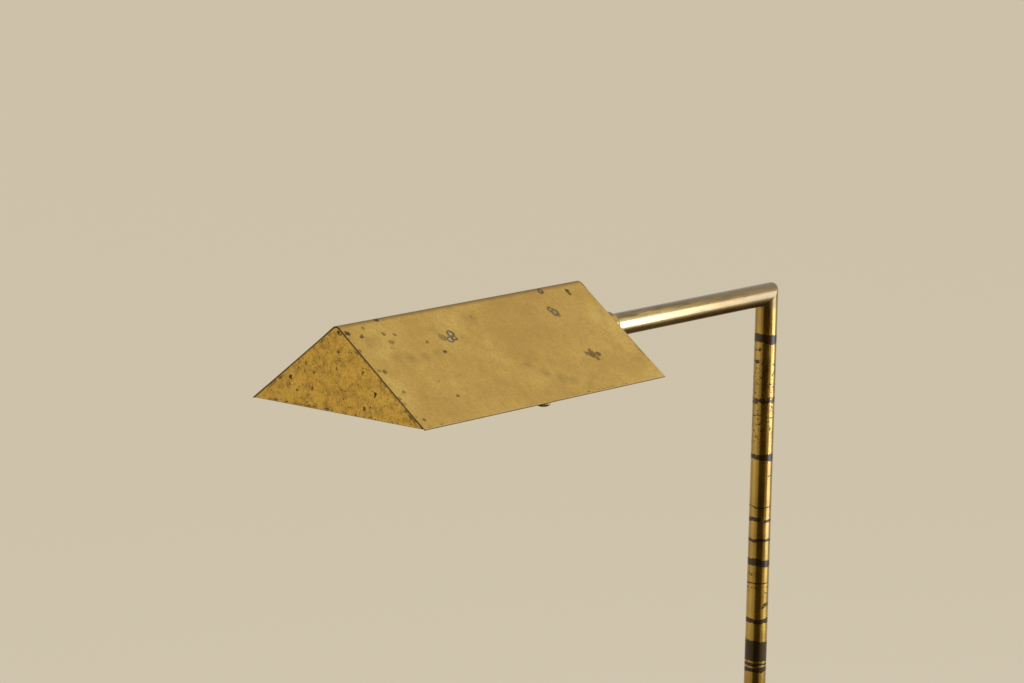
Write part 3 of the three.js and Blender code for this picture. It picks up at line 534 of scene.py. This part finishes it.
def rounded(outline, radius, steps=4):
    # each corner of an outline becomes an arc, with a point beside it that holds the flat, unless it
    # is on the axis or within 8 degrees of straight; outline holds (radius, height) or
    # (radius, height, corner radius), and an arc takes less than half of the shorter side
    points = [tuple(p) if len(p) == 3 else (*p, radius) for p in outline]
    made = []
    for i, (x, y, corner) in enumerate(points):
        here = np.array([x, y], float)
        before = np.array(points[i - 1][:2]) - here
        after = np.array(points[(i + 1) % len(points)][:2]) - here
        reach = min(np.linalg.norm(before), np.linalg.norm(after)) * 0.45
        before, after = before / np.linalg.norm(before), after / np.linalg.norm(after)
        half = math.acos(np.clip(before @ after, -1, 1)) / 2
        if x == 0 or corner == 0 or half > math.radians(86):
            made.append(here[None])
            continue
        back = min(corner / math.tan(half), reach)
        size = back * math.tan(half)
        centre = here + (before + after) / np.linalg.norm(before + after) * size / math.sin(half)
        start = here + before * back - centre
        end = here + after * back - centre
        sweep = math.atan2(start[0] * end[1] - start[1] * end[0], start @ end)
        turn = np.linspace(0, sweep, steps + 1)
        arc = np.stack([start[0] * np.cos(turn) - start[1] * np.sin(turn),
                        start[0] * np.sin(turn) + start[1] * np.cos(turn)], -1) + centre
        hold = min(back * 1.25, reach * 1.1)
        made += [(here + before * hold)[None], arc, (here + after * hold)[None]]
    return np.vstack(made)


def finely(section, step):
    # puts more points on every stretch longer than the step
    made = []
    closed = section[0, 0] != 0
    following = np.roll(section, -1, 0) if closed else section[1:]
    for here, after in zip(section, following):
        count = max(1, math.ceil(np.linalg.norm(after - here) / step))
        made.append(here + (after - here) * np.arange(count)[:, None] / count)
    if not closed:
        made.append(section[-1:])
    return np.vstack(made)


def turnedMesh(name, outline, place, radius=0.3, around=96, step=None, relief=None):
    # a solid of revolution: the point at (r, h) goes to place(r cos a, h, r sin a) for a all round;
    # relief(r, h, a) gives each point's new r, for flutes, flats and threads
    section = rounded(outline, radius)
    if step:
        section = finely(section, step)
    angle = np.linspace(0, 2 * math.pi, around, endpoint=False)[None]
    r = np.repeat(section[:, :1], around, 1)
    h = np.repeat(section[:, 1:], around, 1)
    a = np.repeat(angle, len(section), 0)
    if relief:
        r = relief(r, h, a)
    grid = place(r * np.cos(a), h, r * np.sin(a))
    ahead = np.roll(section, -1, 0) - np.roll(section, 1, 0)
    tilt = ahead[:, :1] / np.maximum(np.linalg.norm(ahead, axis=1)[:, None], 1e-6)
    outward = np.where(np.abs(ahead[:, 1:]) > 0, np.sqrt(np.clip(1 - tilt**2, 0, 1)), 0)
    # how far each point faces up, when the axis lies along the arm
    topSide = np.sin(a) * outward * (r > 0.9 * stemRadius)
    shares = {"topSide": topSide} if place is headPlace else {}
    obj = gridMesh(name, grid, closedRows=section[0, 0] != 0, closedColumns=True, **shares)
    sealAndShade(obj)
    return obj


def uprightPlace(a, h, b):
    return np.stack([a, b, h], -1)


def headPlace(a, h, b):
    return headPoint(a, h, b)


def ringOutline(outer, inner, low, high):
    return [(inner, low), (outer, low), (outer, high), (inner, high)]


def fluting(number, depth, low, high, most):
    # cuts the outside between two heights by depth * |sin|, number times round
    def relief(r, h, a):
        rise = np.clip((h - low) / 0.5, 0, 1) * np.clip((high - h) / 0.5, 0, 1)
        return r - (r > 0.85 * most) * rise * depth * (1 - np.abs(np.sin(a * number / 2)) ** 0.7)

    return relief


def hexFlats(acrossFlats):
    # no point lies further out than the hexagon's side at its angle
    def relief(r, h, a):
        inSide = (a + math.pi / 6) % (math.pi / 3) - math.pi / 6
        return np.minimum(r, acrossFlats / 2 / np.cos(inSide))

    return relief


def threading(pitch, depth, low, high, least):
    # a rolled round thread: a wave that climbs one pitch a turn, on both skins of the thin wall
    def relief(r, h, a):
        rise = np.clip((h - low) / pitch, 0, 1) * np.clip((high - h) / pitch, 0, 1)
        wave = 0.5 - 0.5 * np.cos(2 * math.pi * h / pitch - a)
        return r - (r > least) * rise * depth * wave

    return relief


def waviness(u, v, size):
    # a gentle unevenness, about size mm deep: the sum of five waves, 60 to 160 mm long each way,
    # with seeded lengths and phases
    total = 0
    for _ in range(5):
        lengths = rng.uniform(60, 160, 2)
        phases = rng.uniform(0, 2 * math.pi, 2)
        total = total + math.prod(np.sin(2 * math.pi * p / q + f) for p, q, f in zip((u, v), lengths, phases))
    return size * total / 2.5


def closeToEnds(low, high, count):
    # evenly spaced places from low to high in mm, with extra ones close to both ends
    offsets = np.array([0.25, 0.5, 0.8, 1.2, 1.7, 2.4])
    middle = np.linspace(low, high, count)
    return np.unique(np.concatenate([middle, low + offsets, high - offsets]))


def addEdges(obj, thickness, edgeRound):
    solid = obj.modifiers.new("thickness", "SOLIDIFY")
    solid.thickness = thickness * mm
    solid.offset = -1
    soften = obj.modifiers.new("soft_edges", "BEVEL")
    soften.width = edgeRound * mm
    soften.segments = 2
    soften.limit_method = "ANGLE"
    soften.angle_limit = math.radians(50)


wearReach = 3.0  # how far in from an edge nearRim fades out, in mm
# Millimetres: how deep the slopes wave and bow, how wide a strip stays flat at an open edge and
# beside the ridge, and how far the fold's brown, tarnish and painted shade together, goes from
# the ridge, and round its rear corner
canopy = {
    "bow": 0.16, "flatEdge": 20, "flatRidge": 4, "rise": 12, "brown": 9, "cornerAlong": 2.5, "cornerDown": 5,
}


def makeCanopy():
    # the folded sheet: straight slopes either side of an arc of the fold's radius, carried along
    # the arm; each slope bows in by the waviness, which fades out at its edges
    fold = shade["foldRadius"]
    toArc = slopeLength - fold * math.tan(foldHalf)
    down = closeToEnds(slopeLength - toArc, slopeLength, 60)[::-1]
    right = np.stack([down * slopeDown[0], ridgeAbove + down * slopeDown[1]], -1)
    turn = np.linspace(foldHalf, -foldHalf, 17)[1:-1]
    arc = np.stack([fold * np.sin(turn), foldCentre + fold * np.cos(turn)], -1)
    section = np.vstack([right, arc, right[::-1] * [-1, 1]])
    rise = np.stack([np.sin(turn), np.cos(turn)], -1)
    side = np.tile(slopeOut, (len(down), 1))
    outward = np.vstack([side, rise, side * [-1, 1]])
    steps = np.linalg.norm(np.diff(section, axis=0), axis=1)
    across = np.concatenate([[0], np.cumsum(steps)])[:, None]
    wide = across[-1]
    along = closeToEnds(shade["rear"], shade["front"], 120)[None]
    inBoard = np.minimum(across, wide - across)
    fromTop = np.abs(across - wide / 2)
    fromFlat = (fromTop - canopy["flatRidge"]) / canopy["rise"]
    fade = np.clip(inBoard / canopy["flatEdge"], 0, 1) * np.clip(fromFlat, 0, 1)
    bow = waviness(across, along, canopy["bow"]) * fade - canopy["bow"] * fade
    x = section[:, :1] + outward[:, :1] * bow
    z = section[:, 1:] + outward[:, 1:] * bow
    toEnd = np.minimum(np.minimum(along - shade["rear"], shade["front"] - along), inBoard)
    nearFold = np.clip(1 - fromTop / canopy["brown"], 0, 1)
    fromRear = (along - shade["rear"]) / canopy["cornerAlong"]
    fromCorner = np.hypot(fromRear, (fromTop - canopy["cornerDown"]) / canopy["brown"])
    inCorner = fromTop < canopy["cornerDown"] + canopy["brown"]
    nearFold = np.maximum(nearFold, np.clip(1.2 - fromCorner, 0, 1) * inCorner)
    shares = {"nearRim": np.clip(1 - toEnd / wearReach, 0, 1), "nearFold": nearFold}
    obj = gridMesh("shade_canopy_sheet", headPoint(x, along, z), **shares)
    sealAndShade(obj, 60)
    addEdges(obj, shade["sheet"], 0.2)
    return finishPiece(obj, "head", "shadeSheet", ["shade_canopy"])


def plateOutline():
    # a triangle with a round top, a gap inside the folded sheet, with its corners kept as points
    inset = shade["sheet"] + shade["plateGap"]
    radius = shade["foldRadius"] - inset
    half = (shade["height"] - inset / slopeOut[1]) * slopeDown[0] / -slopeDown[1]
    low = -shade["rimBelowAxis"]
    turn = np.linspace(foldHalf, -foldHalf, 13)
    arc = np.stack([radius * np.sin(turn), foldCentre + radius * np.cos(turn)], -1)
    share = np.linspace(0, 1, 50)[:, None]
    foot = np.array([-half, low]) + share * np.array([2 * half, 0])
    right = np.array([half, low]) + share * (arc[0] - [half, low])
    left = arc[-1] + share * ([-half, low] - arc[-1])
    return np.vstack([foot[:-1], right[:-1], arc[:-1], left[:-1]])


def makePlate(name, along, facing, hole):
    # rows run from the hole's circle, or from a point, straight out to the outline, closer together
    # near it; the sheet waves and is dished in, and is made thick away from the face that shows
    outline = plateOutline()[None]
    plate = {"wave": 0.12, "dish": 0.15}
    share = np.concatenate([np.linspace(0, 0.9, 40), np.linspace(0.91, 0.97, 5), np.linspace(0.975, 1, 6)])
    share = share[:, None, None]
    heart = outline / np.linalg.norm(outline, axis=2, keepdims=True) * hole
    points = heart + (outline - heart) * share
    x, z = points[..., 0], points[..., 1]
    bow = (waviness(x, z, plate["wave"]) - plate["dish"]) * (1 - share[..., 0] ** 2)
    underSlope = (ridgeAbove - z) * slopeOut[1] - np.abs(x) * slopeOut[0]
    toEdge = np.minimum(z + shade["rimBelowAxis"], underSlope - shade["sheet"] - shade["plateGap"])
    rim = np.clip(1 - toEdge / wearReach, 0, 1)
    obj = gridMesh(name, headPoint(x, along + facing * bow, z), closedColumns=True, nearRim=rim)
    sealAndShade(obj, 60)
    normal = Vector(np.mean([tuple(face.normal) for face in obj.data.polygons[:200]], axis=0))
    if normal.y * -facing < 0:
        obj.data.flip_normals()
    addEdges(obj, shade["plate"], 0.2)
    return obj


makeCanopy()
frontPlate = makePlate("shade_front_sheet", shade["front"], 1, 0.0)
finishPiece(frontPlate, "head", "plateSheet", ["shade_front_plate"])
nippleHole = spanOf("shade_nipple")[1][0] + 0.25
rearPlate = makePlate("shade_rear_sheet", shade["rear"], -1, nippleHole)
finishPiece(rearPlate, "head", "plateSheet", ["shade_rear_plate"])
print("shade made")


def makePipe():
    # stem and arm as one mitred pipe: for each angle round the tube, its line runs up the stem,
    # turns the mitre's corner and runs out along the arm; the corner's radius grows from a sharp
    # inside to a worn outside
    pipe = {"wall": 1.0, "worn": 3.2, "sharp": 0.25, "around": 96, "corner": 11}
    # where the rows are, as shares of the stem's length and the arm's
    stemRows = np.array([0, 0.002, 0.5, 0.9, 0.985, 0.998])[:, None]
    armRows = np.array([0.004, 0.03, 0.2, 0.6, 0.99, 1])[:, None]
    low = spanOf("stem_tube")[0][2]
    end = alongSpan("arm_tube")[1]
    angle = np.linspace(0, 2 * math.pi, pipe["around"], endpoint=False)[None]

    def skin(radius):
        out = radius * np.cos(angle)
        side = radius * np.sin(angle)
        worn = pipe["sharp"] + (pipe["worn"] - pipe["sharp"]) * np.clip(np.cos(angle), 0, 1) ** 1.5
        turn = np.linspace(0, math.pi / 2, pipe["corner"])[:, None]
        cornerY = out - worn + worn * np.cos(turn)
        cornerZ = armAxis + out - worn + worn * np.sin(turn)
        stemZ = low + (armAxis + out - worn - low) * stemRows
        armY = out - worn - (end + out - worn) * armRows
        y = np.vstack([out + 0 * stemZ, cornerY, armY])
        z = np.vstack([stemZ, cornerZ, armAxis + out + 0 * armY])
        return np.stack([side + 0 * y, y, z], -1)

    inside = skin(stemRadius - pipe["wall"])[::-1]
    obj = gridMesh("stem_and_arm_pipe", np.concatenate([skin(stemRadius), inside]), True, True)
    sealAndShade(obj, 40)
    return finishPiece(obj, "stem", "stemTube", ["stem_tube", "arm_tube"])


makePipe()
print("stem and arm made")


def makeSleeve():
    # a cup turned from bar, with a rounded and chamfered mouth round the arm
    start, end = alongSpan("swivel_sleeve")
    sleeve = {"bore": stemRadius + 0.35, "outer": stemRadius + 2.35, "chamfer": 2.0, "web": 1.3}
    bore, outer, chamfer, web = sleeve.values()
    outline = [
        (bore, start, 0.15), (outer - 0.8 * chamfer, start, 0.15), (outer, start + 1.4 * chamfer, 2.0),
        (outer, end, 0.25), (nippleHole, end), (nippleHole, end - web), (bore, end - web),
    ]
    obj = turnedMesh("swivel_sleeve_turned", outline, headPlace, 0.2, step=4.0)
    return finishPiece(obj, "head", "turned", ["swivel_sleeve"])


def makeShadeNut():
    # a chamfered hexagon: a turned ring whose outside is cut back to the six flats
    start, end = alongSpan("shade_lock_nut")
    nut = {"flats": 17.0, "bore": 4.85, "chamfer": 0.9}
    flats, bore, chamfer = nut.values()
    corner = flats / 2 / math.cos(math.pi / 6)
    outline = [
        (bore, start), (corner - chamfer, start), (corner, start + 0.5 * chamfer),
        (corner, end - 0.5 * chamfer), (corner - chamfer, end), (bore, end),
    ]
    obj = turnedMesh("shade_lock_nut_hex", outline, headPlace, 0.1, 144, 0.4, hexFlats(flats))
    return finishPiece(obj, "head", "turned", ["shade_lock_nut"])


def swellOutline(bore, neck, full, start, neckEnd, end):
    # an egg-cup profile: the neck, then a quarter wave out to the full radius
    share = np.linspace(0, 1, 14)
    r = neck + (full - neck) * np.sin(share * math.pi / 2) ** 1.1
    h = neckEnd + (end - neckEnd) * (1 - np.cos(share * math.pi / 2))
    swell = [(x, y, 0) for x, y in zip(r, h)]
    return [(bore, start), (neck, start, 0.5)] + swell


def makeSocket():
    # pressed brass: the cap, the shell with two rolled beads, and its fibre liner; beads are shares
    # of the shell's length
    start, end = alongSpan("socket_cap")
    shellStart, shellEnd = alongSpan("socket_shell")
    socket = {
        "bore": 4.85, "neck": 8.0, "neckLength": 4.0, "wall": 0.7, "liner": 15.8, "linerBore": 15.3,
        "beads": (0.12, 0.93), "beadRise": 0.35, "beadWidth": 1.1,
    }
    full = spanOf("socket_shell")[1][2] - armAxis
    neckEnd = start + socket["neckLength"]
    wall = socket["wall"]
    outside = swellOutline(socket["bore"], socket["neck"], full, start, neckEnd, end)
    inside = swellOutline(socket["bore"], socket["neck"] - wall, full - wall, start + 1, neckEnd + 1, end)
    cap = turnedMesh("socket_cap_pressed", outside + inside[::-1], headPlace, 0.2)
    finishPiece(cap, "head", "turned", ["socket_cap"])

    def beads(r, h, a):
        # each bead is a bell curve over the shell's length
        places = [shellStart + share * (shellEnd - shellStart) for share in socket["beads"]]
        swollen = sum(np.exp(-(((h - place) / socket["beadWidth"]) ** 2)) for place in places)
        return r - socket["beadRise"] * (1 - np.clip(swollen, 0, 1))

    outline = ringOutline(full, full - wall, shellStart, shellEnd)
    shell = turnedMesh("socket_shell_pressed", outline, headPlace, 0.2, step=0.6, relief=beads)
    finishPiece(shell, "head", "turned", ["socket_shell"])

    linerStart, linerEnd = alongSpan("socket_liner")
    outline = ringOutline(socket["liner"], socket["linerBore"], linerStart, linerEnd)
    liner = turnedMesh("socket_liner_rolled", outline, headPlace, 0.1, step=4.0)
    finishPiece(liner, "head", "fibre", ["socket_liner"])

    start, end = alongSpan("screw_shell")
    screw = {"outer": 13.4, "wall": 0.4, "pitch": 3.6, "depth": 0.55, "contactHole": 5.0}
    outer, hole, floor = screw["outer"], screw["contactHole"], start + screw["wall"]
    inner = outer - screw["wall"]
    outline = [(hole, start), (outer, start, 0.8), (outer, end)]
    outline += [(inner, end), (inner, floor, 0.6), (hole, floor)]
    thread = threading(screw["pitch"], screw["depth"], start + 2, end - 0.5, outer - 1)
    shellMesh = turnedMesh("screw_shell_rolled", outline, headPlace, 0.1, 96, 0.45, thread)
    return finishPiece(shellMesh, "head", "turned", ["screw_shell"])


def makeBulb():
    # the threaded cap, and a glass that swells from its neck to a round end
    start, end = alongSpan("bulb_cap")
    cap = {"radius": 12.6, "tip": 3.0, "cone": 0.22, "wall": 0.5, "pitch": 3.6, "depth": 0.75}
    cone = start + cap["cone"] * (end - start)
    outer, tipRadius = cap["radius"], cap["tip"]
    outline = [
        (0, start), (tipRadius, start, 1.0), (tipRadius + 1.2, start + 1.4, 0.6), (outer, cone, 1.0),
        (outer, end), (outer - cap["wall"], end), (outer - cap["wall"], cone + 1),
        (tipRadius, start + 2), (0, start + 2),
    ]
    thread = threading(cap["pitch"], cap["depth"], cone + 0.5, end - 2.5, outer - 1.2)
    obj = turnedMesh("bulb_cap_threaded", outline, headPlace, 0.12, 96, 0.45, thread)
    finishPiece(obj, "head", "capMetal", ["bulb_cap"])

    neckStart, tip = alongSpan("bulb_glass")
    glass = {"neck": 11.9, "radius": spanOf("bulb_glass")[1][2] - armAxis, "wall": 0.8}
    share = np.linspace(0, 1, 24)
    neckEnd = end + 0.3
    swellEnd = neckEnd + glass["radius"]
    smooth = share**2 * (3 - 2 * share)  # starts and ends level
    turn = share * math.pi / 2

    def skin(inset):
        neck, radius = glass["neck"] - inset, glass["radius"] - inset
        swell = np.stack([neck + (radius - neck) * smooth, neckEnd + (swellEnd - neckEnd) * share], -1)
        dome = np.stack([radius * np.cos(turn), tip - glass["radius"] + radius * np.sin(turn)], -1)
        dome[-1, 0] = 0
        return [(neck, neckStart, 0.0)] + [(x, y, 0.0) for x, y in np.vstack([swell, dome])]

    # the outline starts and ends on the axis, at the round end
    tipFirst = skin(0)[::-1] + skin(glass["wall"])
    obj = turnedMesh("bulb_glass_blown", tipFirst, headPlace, 0.2, step=3.0)
    return finishPiece(obj, "head", "opal", ["bulb_glass"])


def makeSwitch():
    # the knob: a domed foot, a fluted grip and a turned-in head on its thin shaft
    low, high = spanOf("switch_knob")
    alongArm = -(low[1] + high[1]) / 2
    knob = {"radius": 5.0, "foot": -45.0, "head": -33.0, "flutes": 24, "depth": 0.4}
    shaft = {"radius": 1.5, "top": -5.0, "foot": -32.7}

    def place(a, h, b):
        return headPoint(a, alongArm + b, h)

    outer, foot, head = knob["radius"], knob["foot"], knob["head"]
    outline = [
        (0, foot), (3.0, foot, 0.9), (outer - 0.5, foot + 0.9, 0.6), (outer, foot + 1.6, 0.5),
        (outer, head - 2.6, 0.6), (outer - 0.9, head - 1.9, 0.4), (3.1, head - 1.4, 0.4), (2.6, head, 0.3),
        (0, head),
    ]
    flutes = fluting(knob["flutes"], knob["depth"], foot + 1.9, head - 2.8, outer)
    grip = turnedMesh("switch_knob_turned", outline, place, 0.3, 192, 0.8, flutes)
    finishPiece(grip, "switch_knob", "knob", ["switch_knob"])

    outline = ringOutline(shaft["radius"], 0, shaft["foot"], shaft["top"])
    rod = turnedMesh("switch_shaft_turned", outline, place, 0.25, 48)
    return finishPiece(rod, "switch_knob", "zinc", ["switch_shaft"])


makeSleeve()
makeShadeNut()
makeSocket()
makeBulb()
makeSwitch()
print("swivel, socket, bulb and switch made")


def makeColumn():
    # a plain tube, with the ferrule's cove and bead at its foot
    low, high = spanOf("column_tube")
    outline = ringOutline(columnRadius, columnRadius - 1.0, low[2], high[2])
    tube = turnedMesh("column_tube_drawn", outline, uprightPlace, 0.2, step=60.0)
    finishPiece(tube, "base", "columnTube", ["column_tube"])

    low, high = spanOf("column_ferrule")
    ferrule = {"foot": high[0], "rim": columnRadius + 1.65, "bore": columnRadius + 0.15, "bead": 2.2}
    foot, rim, bore = ferrule["foot"], ferrule["rim"], ferrule["bore"]
    beadTop = low[2] + ferrule["bead"]
    coveStart, coveEnd = beadTop + 0.4, high[2] - 3.4
    share = np.linspace(0, 1, 16)
    cove = rim + (foot - 2.2 - rim) * (1 - share) ** 2.2
    outline = [(bore, low[2]), (foot, low[2], 1.0), (foot, beadTop, 1.0)]
    outline += [(r, h, 0) for r, h in zip(cove, coveStart + (coveEnd - coveStart) * share)]
    outline += [(rim, high[2] - 2.4, 0.3), (rim, high[2], 0.5), (bore, high[2])]
    obj = turnedMesh("column_ferrule_turned", outline, uprightPlace, 0.3, step=4.0)
    return finishPiece(obj, "base", "turned", ["column_ferrule"])


def makeCollet():
    # the collet's body below the nut, with a groove and a waist; its split fingers are in the nut
    low, high = spanOf("collet_body")
    nutLow = spanOf("collar_nut")[0][2]
    collet = {"outer": high[0], "thread": 10.45, "tip": 9.25, "bore": stemRadius + 0.25, "groove": 0.6}
    foot, seat = low[2], columnRadius + 0.05
    outer, thread, bore = collet["outer"], collet["thread"], collet["bore"]
    sunk = outer - collet["groove"]
    outline = [
        (seat, foot), (outer - 0.8, foot, 0.3), (outer, foot + 1.6, 0.5), (outer, foot + 4.4, 0.3),
        (sunk, foot + 5.0, 0.3), (sunk, foot + 6.2, 0.3), (outer, foot + 6.8, 0.3),
        (outer, nutLow - 0.4, 0.4), (thread, nutLow - 0.2, 0.1), (thread, foot + 32),
        (collet["tip"], high[2]), (bore, high[2]), (bore, foot + 16), (seat, foot + 16),
    ]
    obj = turnedMesh("collet_body_turned", outline, uprightPlace, 0.15, step=3.0)
    finishPiece(obj, "base", "turned", ["collet_body"])

    low, high = spanOf("collar_nut")
    nut = {"lip": stemRadius + 2.45, "bore": stemRadius + 0.25, "thread": 10.75, "knurls": 64, "depth": 0.3}
    grip = high[2] - 8
    outer, thread, bore = high[0], nut["thread"], nut["bore"]
    outline = [
        (thread, low[2]), (outer - 0.9, low[2], 0.3), (outer, low[2] + 0.9, 0.3), (outer, grip, 0.8),
        (outer - 0.7, grip + 0.8, 0.4), (outer - 0.9, grip + 1.8, 0.4), (nut["lip"], high[2] - 0.2, 0.8),
        (bore, high[2], 0.2), (bore, grip + 0.6), (thread - 1, grip + 0.6), (thread, grip - 10),
    ]
    knurl = fluting(nut["knurls"], nut["depth"], low[2] + 2.5, grip - 1.5, outer)
    obj = turnedMesh("collar_nut_knurled", outline, uprightPlace, 0.2, 384, 1.5, knurl)
    return finishPiece(obj, "collar_nut", "turned", ["collar_nut"])


def makeBase():
    # the spun cover: a flat hub, a parabola down to a rounded edge and a short wall; a felt disc
    # under it; and the inlet's bush in the wall
    low, high = spanOf("base_cover")
    cover = {"hub": 26.0, "edgeHeight": 14.0, "edgeRound": 2.5, "sheet": 0.9, "bore": 6.8}
    rim, edgeRound = high[0], cover["edgeRound"]
    share = np.linspace(0, 1, 40)
    turn = np.linspace(0.22, 1, 8) * math.pi / 2

    def skin(inset):
        r = cover["hub"] + (rim - edgeRound - cover["hub"]) * share
        h = high[2] - (high[2] - cover["edgeHeight"]) * share**2 - inset
        edge = edgeRound - inset
        cornerR = rim - edgeRound + edge * np.sin(turn)
        cornerH = cover["edgeHeight"] - edgeRound + edge * np.cos(turn)
        points = np.vstack([np.stack([r, h], -1), np.stack([cornerR, cornerH], -1)])
        return [(cover["bore"], high[2] - inset)] + [(x, y, 0) for x, y in points] + [(rim - inset, low[2])]

    outline = skin(0) + skin(cover["sheet"])[::-1]
    obj = turnedMesh("base_cover_spun", outline, uprightPlace, 0.15, 180, 6.0)
    finishPiece(obj, "base", "baseSheet", ["base_cover"])

    feltHigh = spanOf("base_felt")[1]
    outline = ringOutline(feltHigh[0], 0, 0, feltHigh[2] - 0.05)
    felt = turnedMesh("base_felt_cut", outline, uprightPlace, 0.6, 128, 12.0)
    finishPiece(felt, "base", "felt", ["base_felt"])

    low, high = spanOf("cord_bushing")
    inlet = {"neck": 3.5, "bore": 2.55, "height": (low[2] + high[2]) / 2}
    lip, neck, bore, wall = high[0], inlet["neck"], inlet["bore"], rim - 0.05

    def place(a, h, b):
        return np.stack([a, h, inlet["height"] + b], -1)

    outline = [
        (0, low[1] + 0.2), (neck + 0.3, low[1] + 0.2), (neck, rim - 1.0), (neck, wall), (lip, wall, 0.2),
        (lip, high[1] - 0.9, 0.7), (lip - 1.2, high[1], 0.5), (bore, high[1], 0.4), (bore, wall + 0.35, 0.2),
        (0, wall + 0.35),
    ]
    bush = turnedMesh("cord_bushing_moulded", outline, place, 0.2, 64)
    return finishPiece(bush, "base", "phenolic", ["cord_bushing"])


makeColumn()
makeCollet()
makeBase()
print("column, collet and base made")

# Pieces that keep the frame's own mesh, and the finish that each has
nodeFinish = {
    "iron": ["base_weight"],
    "zinc": ["column_nipple", "base_washer", "base_lock_nut", "shade_nipple", "swivel_spring_washer"],
    "turned": ["column_foot_plug", "stem_end_plug", "arm_end_bush", "swivel_lock_nut", "centre_contact"],
    "jacket": ["lead_column", "lead_stem", "lead_socket"],
    "nylon": ["stem_guide_bush"],
    "fibre": ["swivel_friction_washer"],
    "phenolic": ["switch_body"],
}
for finishName, nodeNames in nodeFinish.items():
    for nodeName in nodeNames:
        mesh = frame["nodes"][nodeName].data
        mesh.materials.clear()
        mesh.materials.append(finish[finishName])


def makeFloor():
    reach = 40000.0
    corners = np.array([[[-1, -1, 0], [1, -1, 0]], [[-1, 1, 0], [1, 1, 0]]]) * reach
    floor = gridMesh("floor", corners)
    # matt cream paint, with no shine at all
    settings = {"Base_Color": linear("#D5CBB6"), "Roughness": 1.0, "Specular_IOR_Level": 0.0}
    floor.data.materials.append(newMaterial("pale_floor", **settings)[0])


def makeFlag(name, grid, flag, closed=False):
    # a studio flag or card that only reflections show; it fades out towards the ellipsoid whose
    # half axes are fadeTo, in metres, from fadeFrom of the way
    obj = gridMesh(name, grid, closedColumns=closed)
    material, add, place = newMaterial(name + "_cloth")
    tree = material.node_tree
    tree.nodes.remove(tree.nodes["Principled BSDF"])
    centre = tuple(np.array(flag["centre"]) * mm)
    away = add("VectorMath", [place, centre], operation="SUBTRACT")
    scaled = add("VectorMath", [away, flag["fadeTo"]], operation="DIVIDE")
    gap = add("VectorMath", [scaled], operation="LENGTH")
    clear = add("MapRange", [(gap, 1), flag["fadeFrom"], 1.0])
    dim = add("Emission", {"Color": linear(flag["shade"]), "Strength": 1.0})
    through = add("BsdfTransparent")
    both = add("MixShader", [clear, dim, through])
    tree.links.new(both.outputs[0], tree.nodes["Material Output"].inputs["Surface"])
    obj.data.materials.append(material)
    for kind in ("camera", "diffuse", "transmission", "volume_scatter", "shadow"):
        setattr(obj, "visible_" + kind, False)


def uprightGrid(azimuth, distance, width, low, high):
    # a standing rectangle facing the lamp, azimuth from +X towards +Y
    angle = math.radians(azimuth)
    centre = np.array([math.cos(angle), math.sin(angle), 0]) * distance
    side = np.array([-math.sin(angle), math.cos(angle), 0]) * width / 2
    ends = np.stack([centre - side, centre + side])
    return np.stack([ends + [0, 0, low], ends + [0, 0, high]])


frontFlag = {"shade": "#4A3C18", "fadeFrom": 0.8, "fadeTo": (1.1, 1.1, 1.2), "centre": (919, -919, 900)}
sideCard = {"shade": "#FFFAF0", "fadeFrom": 0.85, "fadeTo": (1.6, 1.6, 1.1), "centre": (-1968, -2264, 850)}
lowFlag = {
    "shade": "#5A4A32", "fadeFrom": 0.7, "fadeTo": (2.6, 2.6, 1.0), "centre": (0, 0, 4),
    "hole": 350.0, "reach": 2600.0, "height": 4,
}


def makeFlags():
    # a dark one in front, a pale card beyond the shade's end, and a dark ring low round the lamp
    makeFlag("flag_front", uprightGrid(-45, 1300, 2900, 200, 1900), frontFlag)
    makeFlag("card_side", uprightGrid(-131, 3000, 3000, 100, 1800), sideCard)
    turn = np.linspace(0, 2 * math.pi, 48, endpoint=False)[None]
    away = np.array([lowFlag["hole"], lowFlag["reach"]])[:, None]
    ring = np.stack([away * np.cos(turn), away * np.sin(turn), lowFlag["height"] + 0 * away * turn], -1)
    makeFlag("flag_low", ring, lowFlag, True)


# The one soft light: degrees, metres and watts
daylight = {
    "azimuth": 37, "away": 2.5, "width": 1.85, "height": 1.9, "middle": 1.25,
    "power": 53, "colour": "#CFDBFF",
}


def makeLight(name, lamp):
    light = bpy.data.lights.new(name, "AREA")
    light.shape = "RECTANGLE"
    light.size, light.size_y = lamp["width"], lamp["height"]
    light.energy = lamp["power"]
    light.color = linear(lamp["colour"])[:3]
    obj = bpy.data.objects.new(name, light)
    turn = math.radians(lamp["azimuth"])
    place = Vector((lamp["away"] * math.cos(turn), lamp["away"] * math.sin(turn), lamp["middle"]))
    toLamp = Vector((0, 0, lamp["middle"])) - place
    obj.matrix_world = Matrix.Translation(place) @ toLamp.to_track_quat("-Z", "Y").to_matrix().to_4x4()
    obj.visible_camera = False
    bpy.context.scene.collection.objects.link(obj)


def makeWorld():
    world = bpy.data.worlds.new("studio")
    world.use_nodes = True
    background = world.node_tree.nodes["Background"]
    background.inputs["Color"].default_value = linear("#FFFCF6")
    background.inputs["Strength"].default_value = 0.915  # puts the floor at its own tone
    bpy.context.scene.world = world


makeFloor()
makeWorld()
makeFlags()
makeLight("daylight", daylight)
print("stage made")
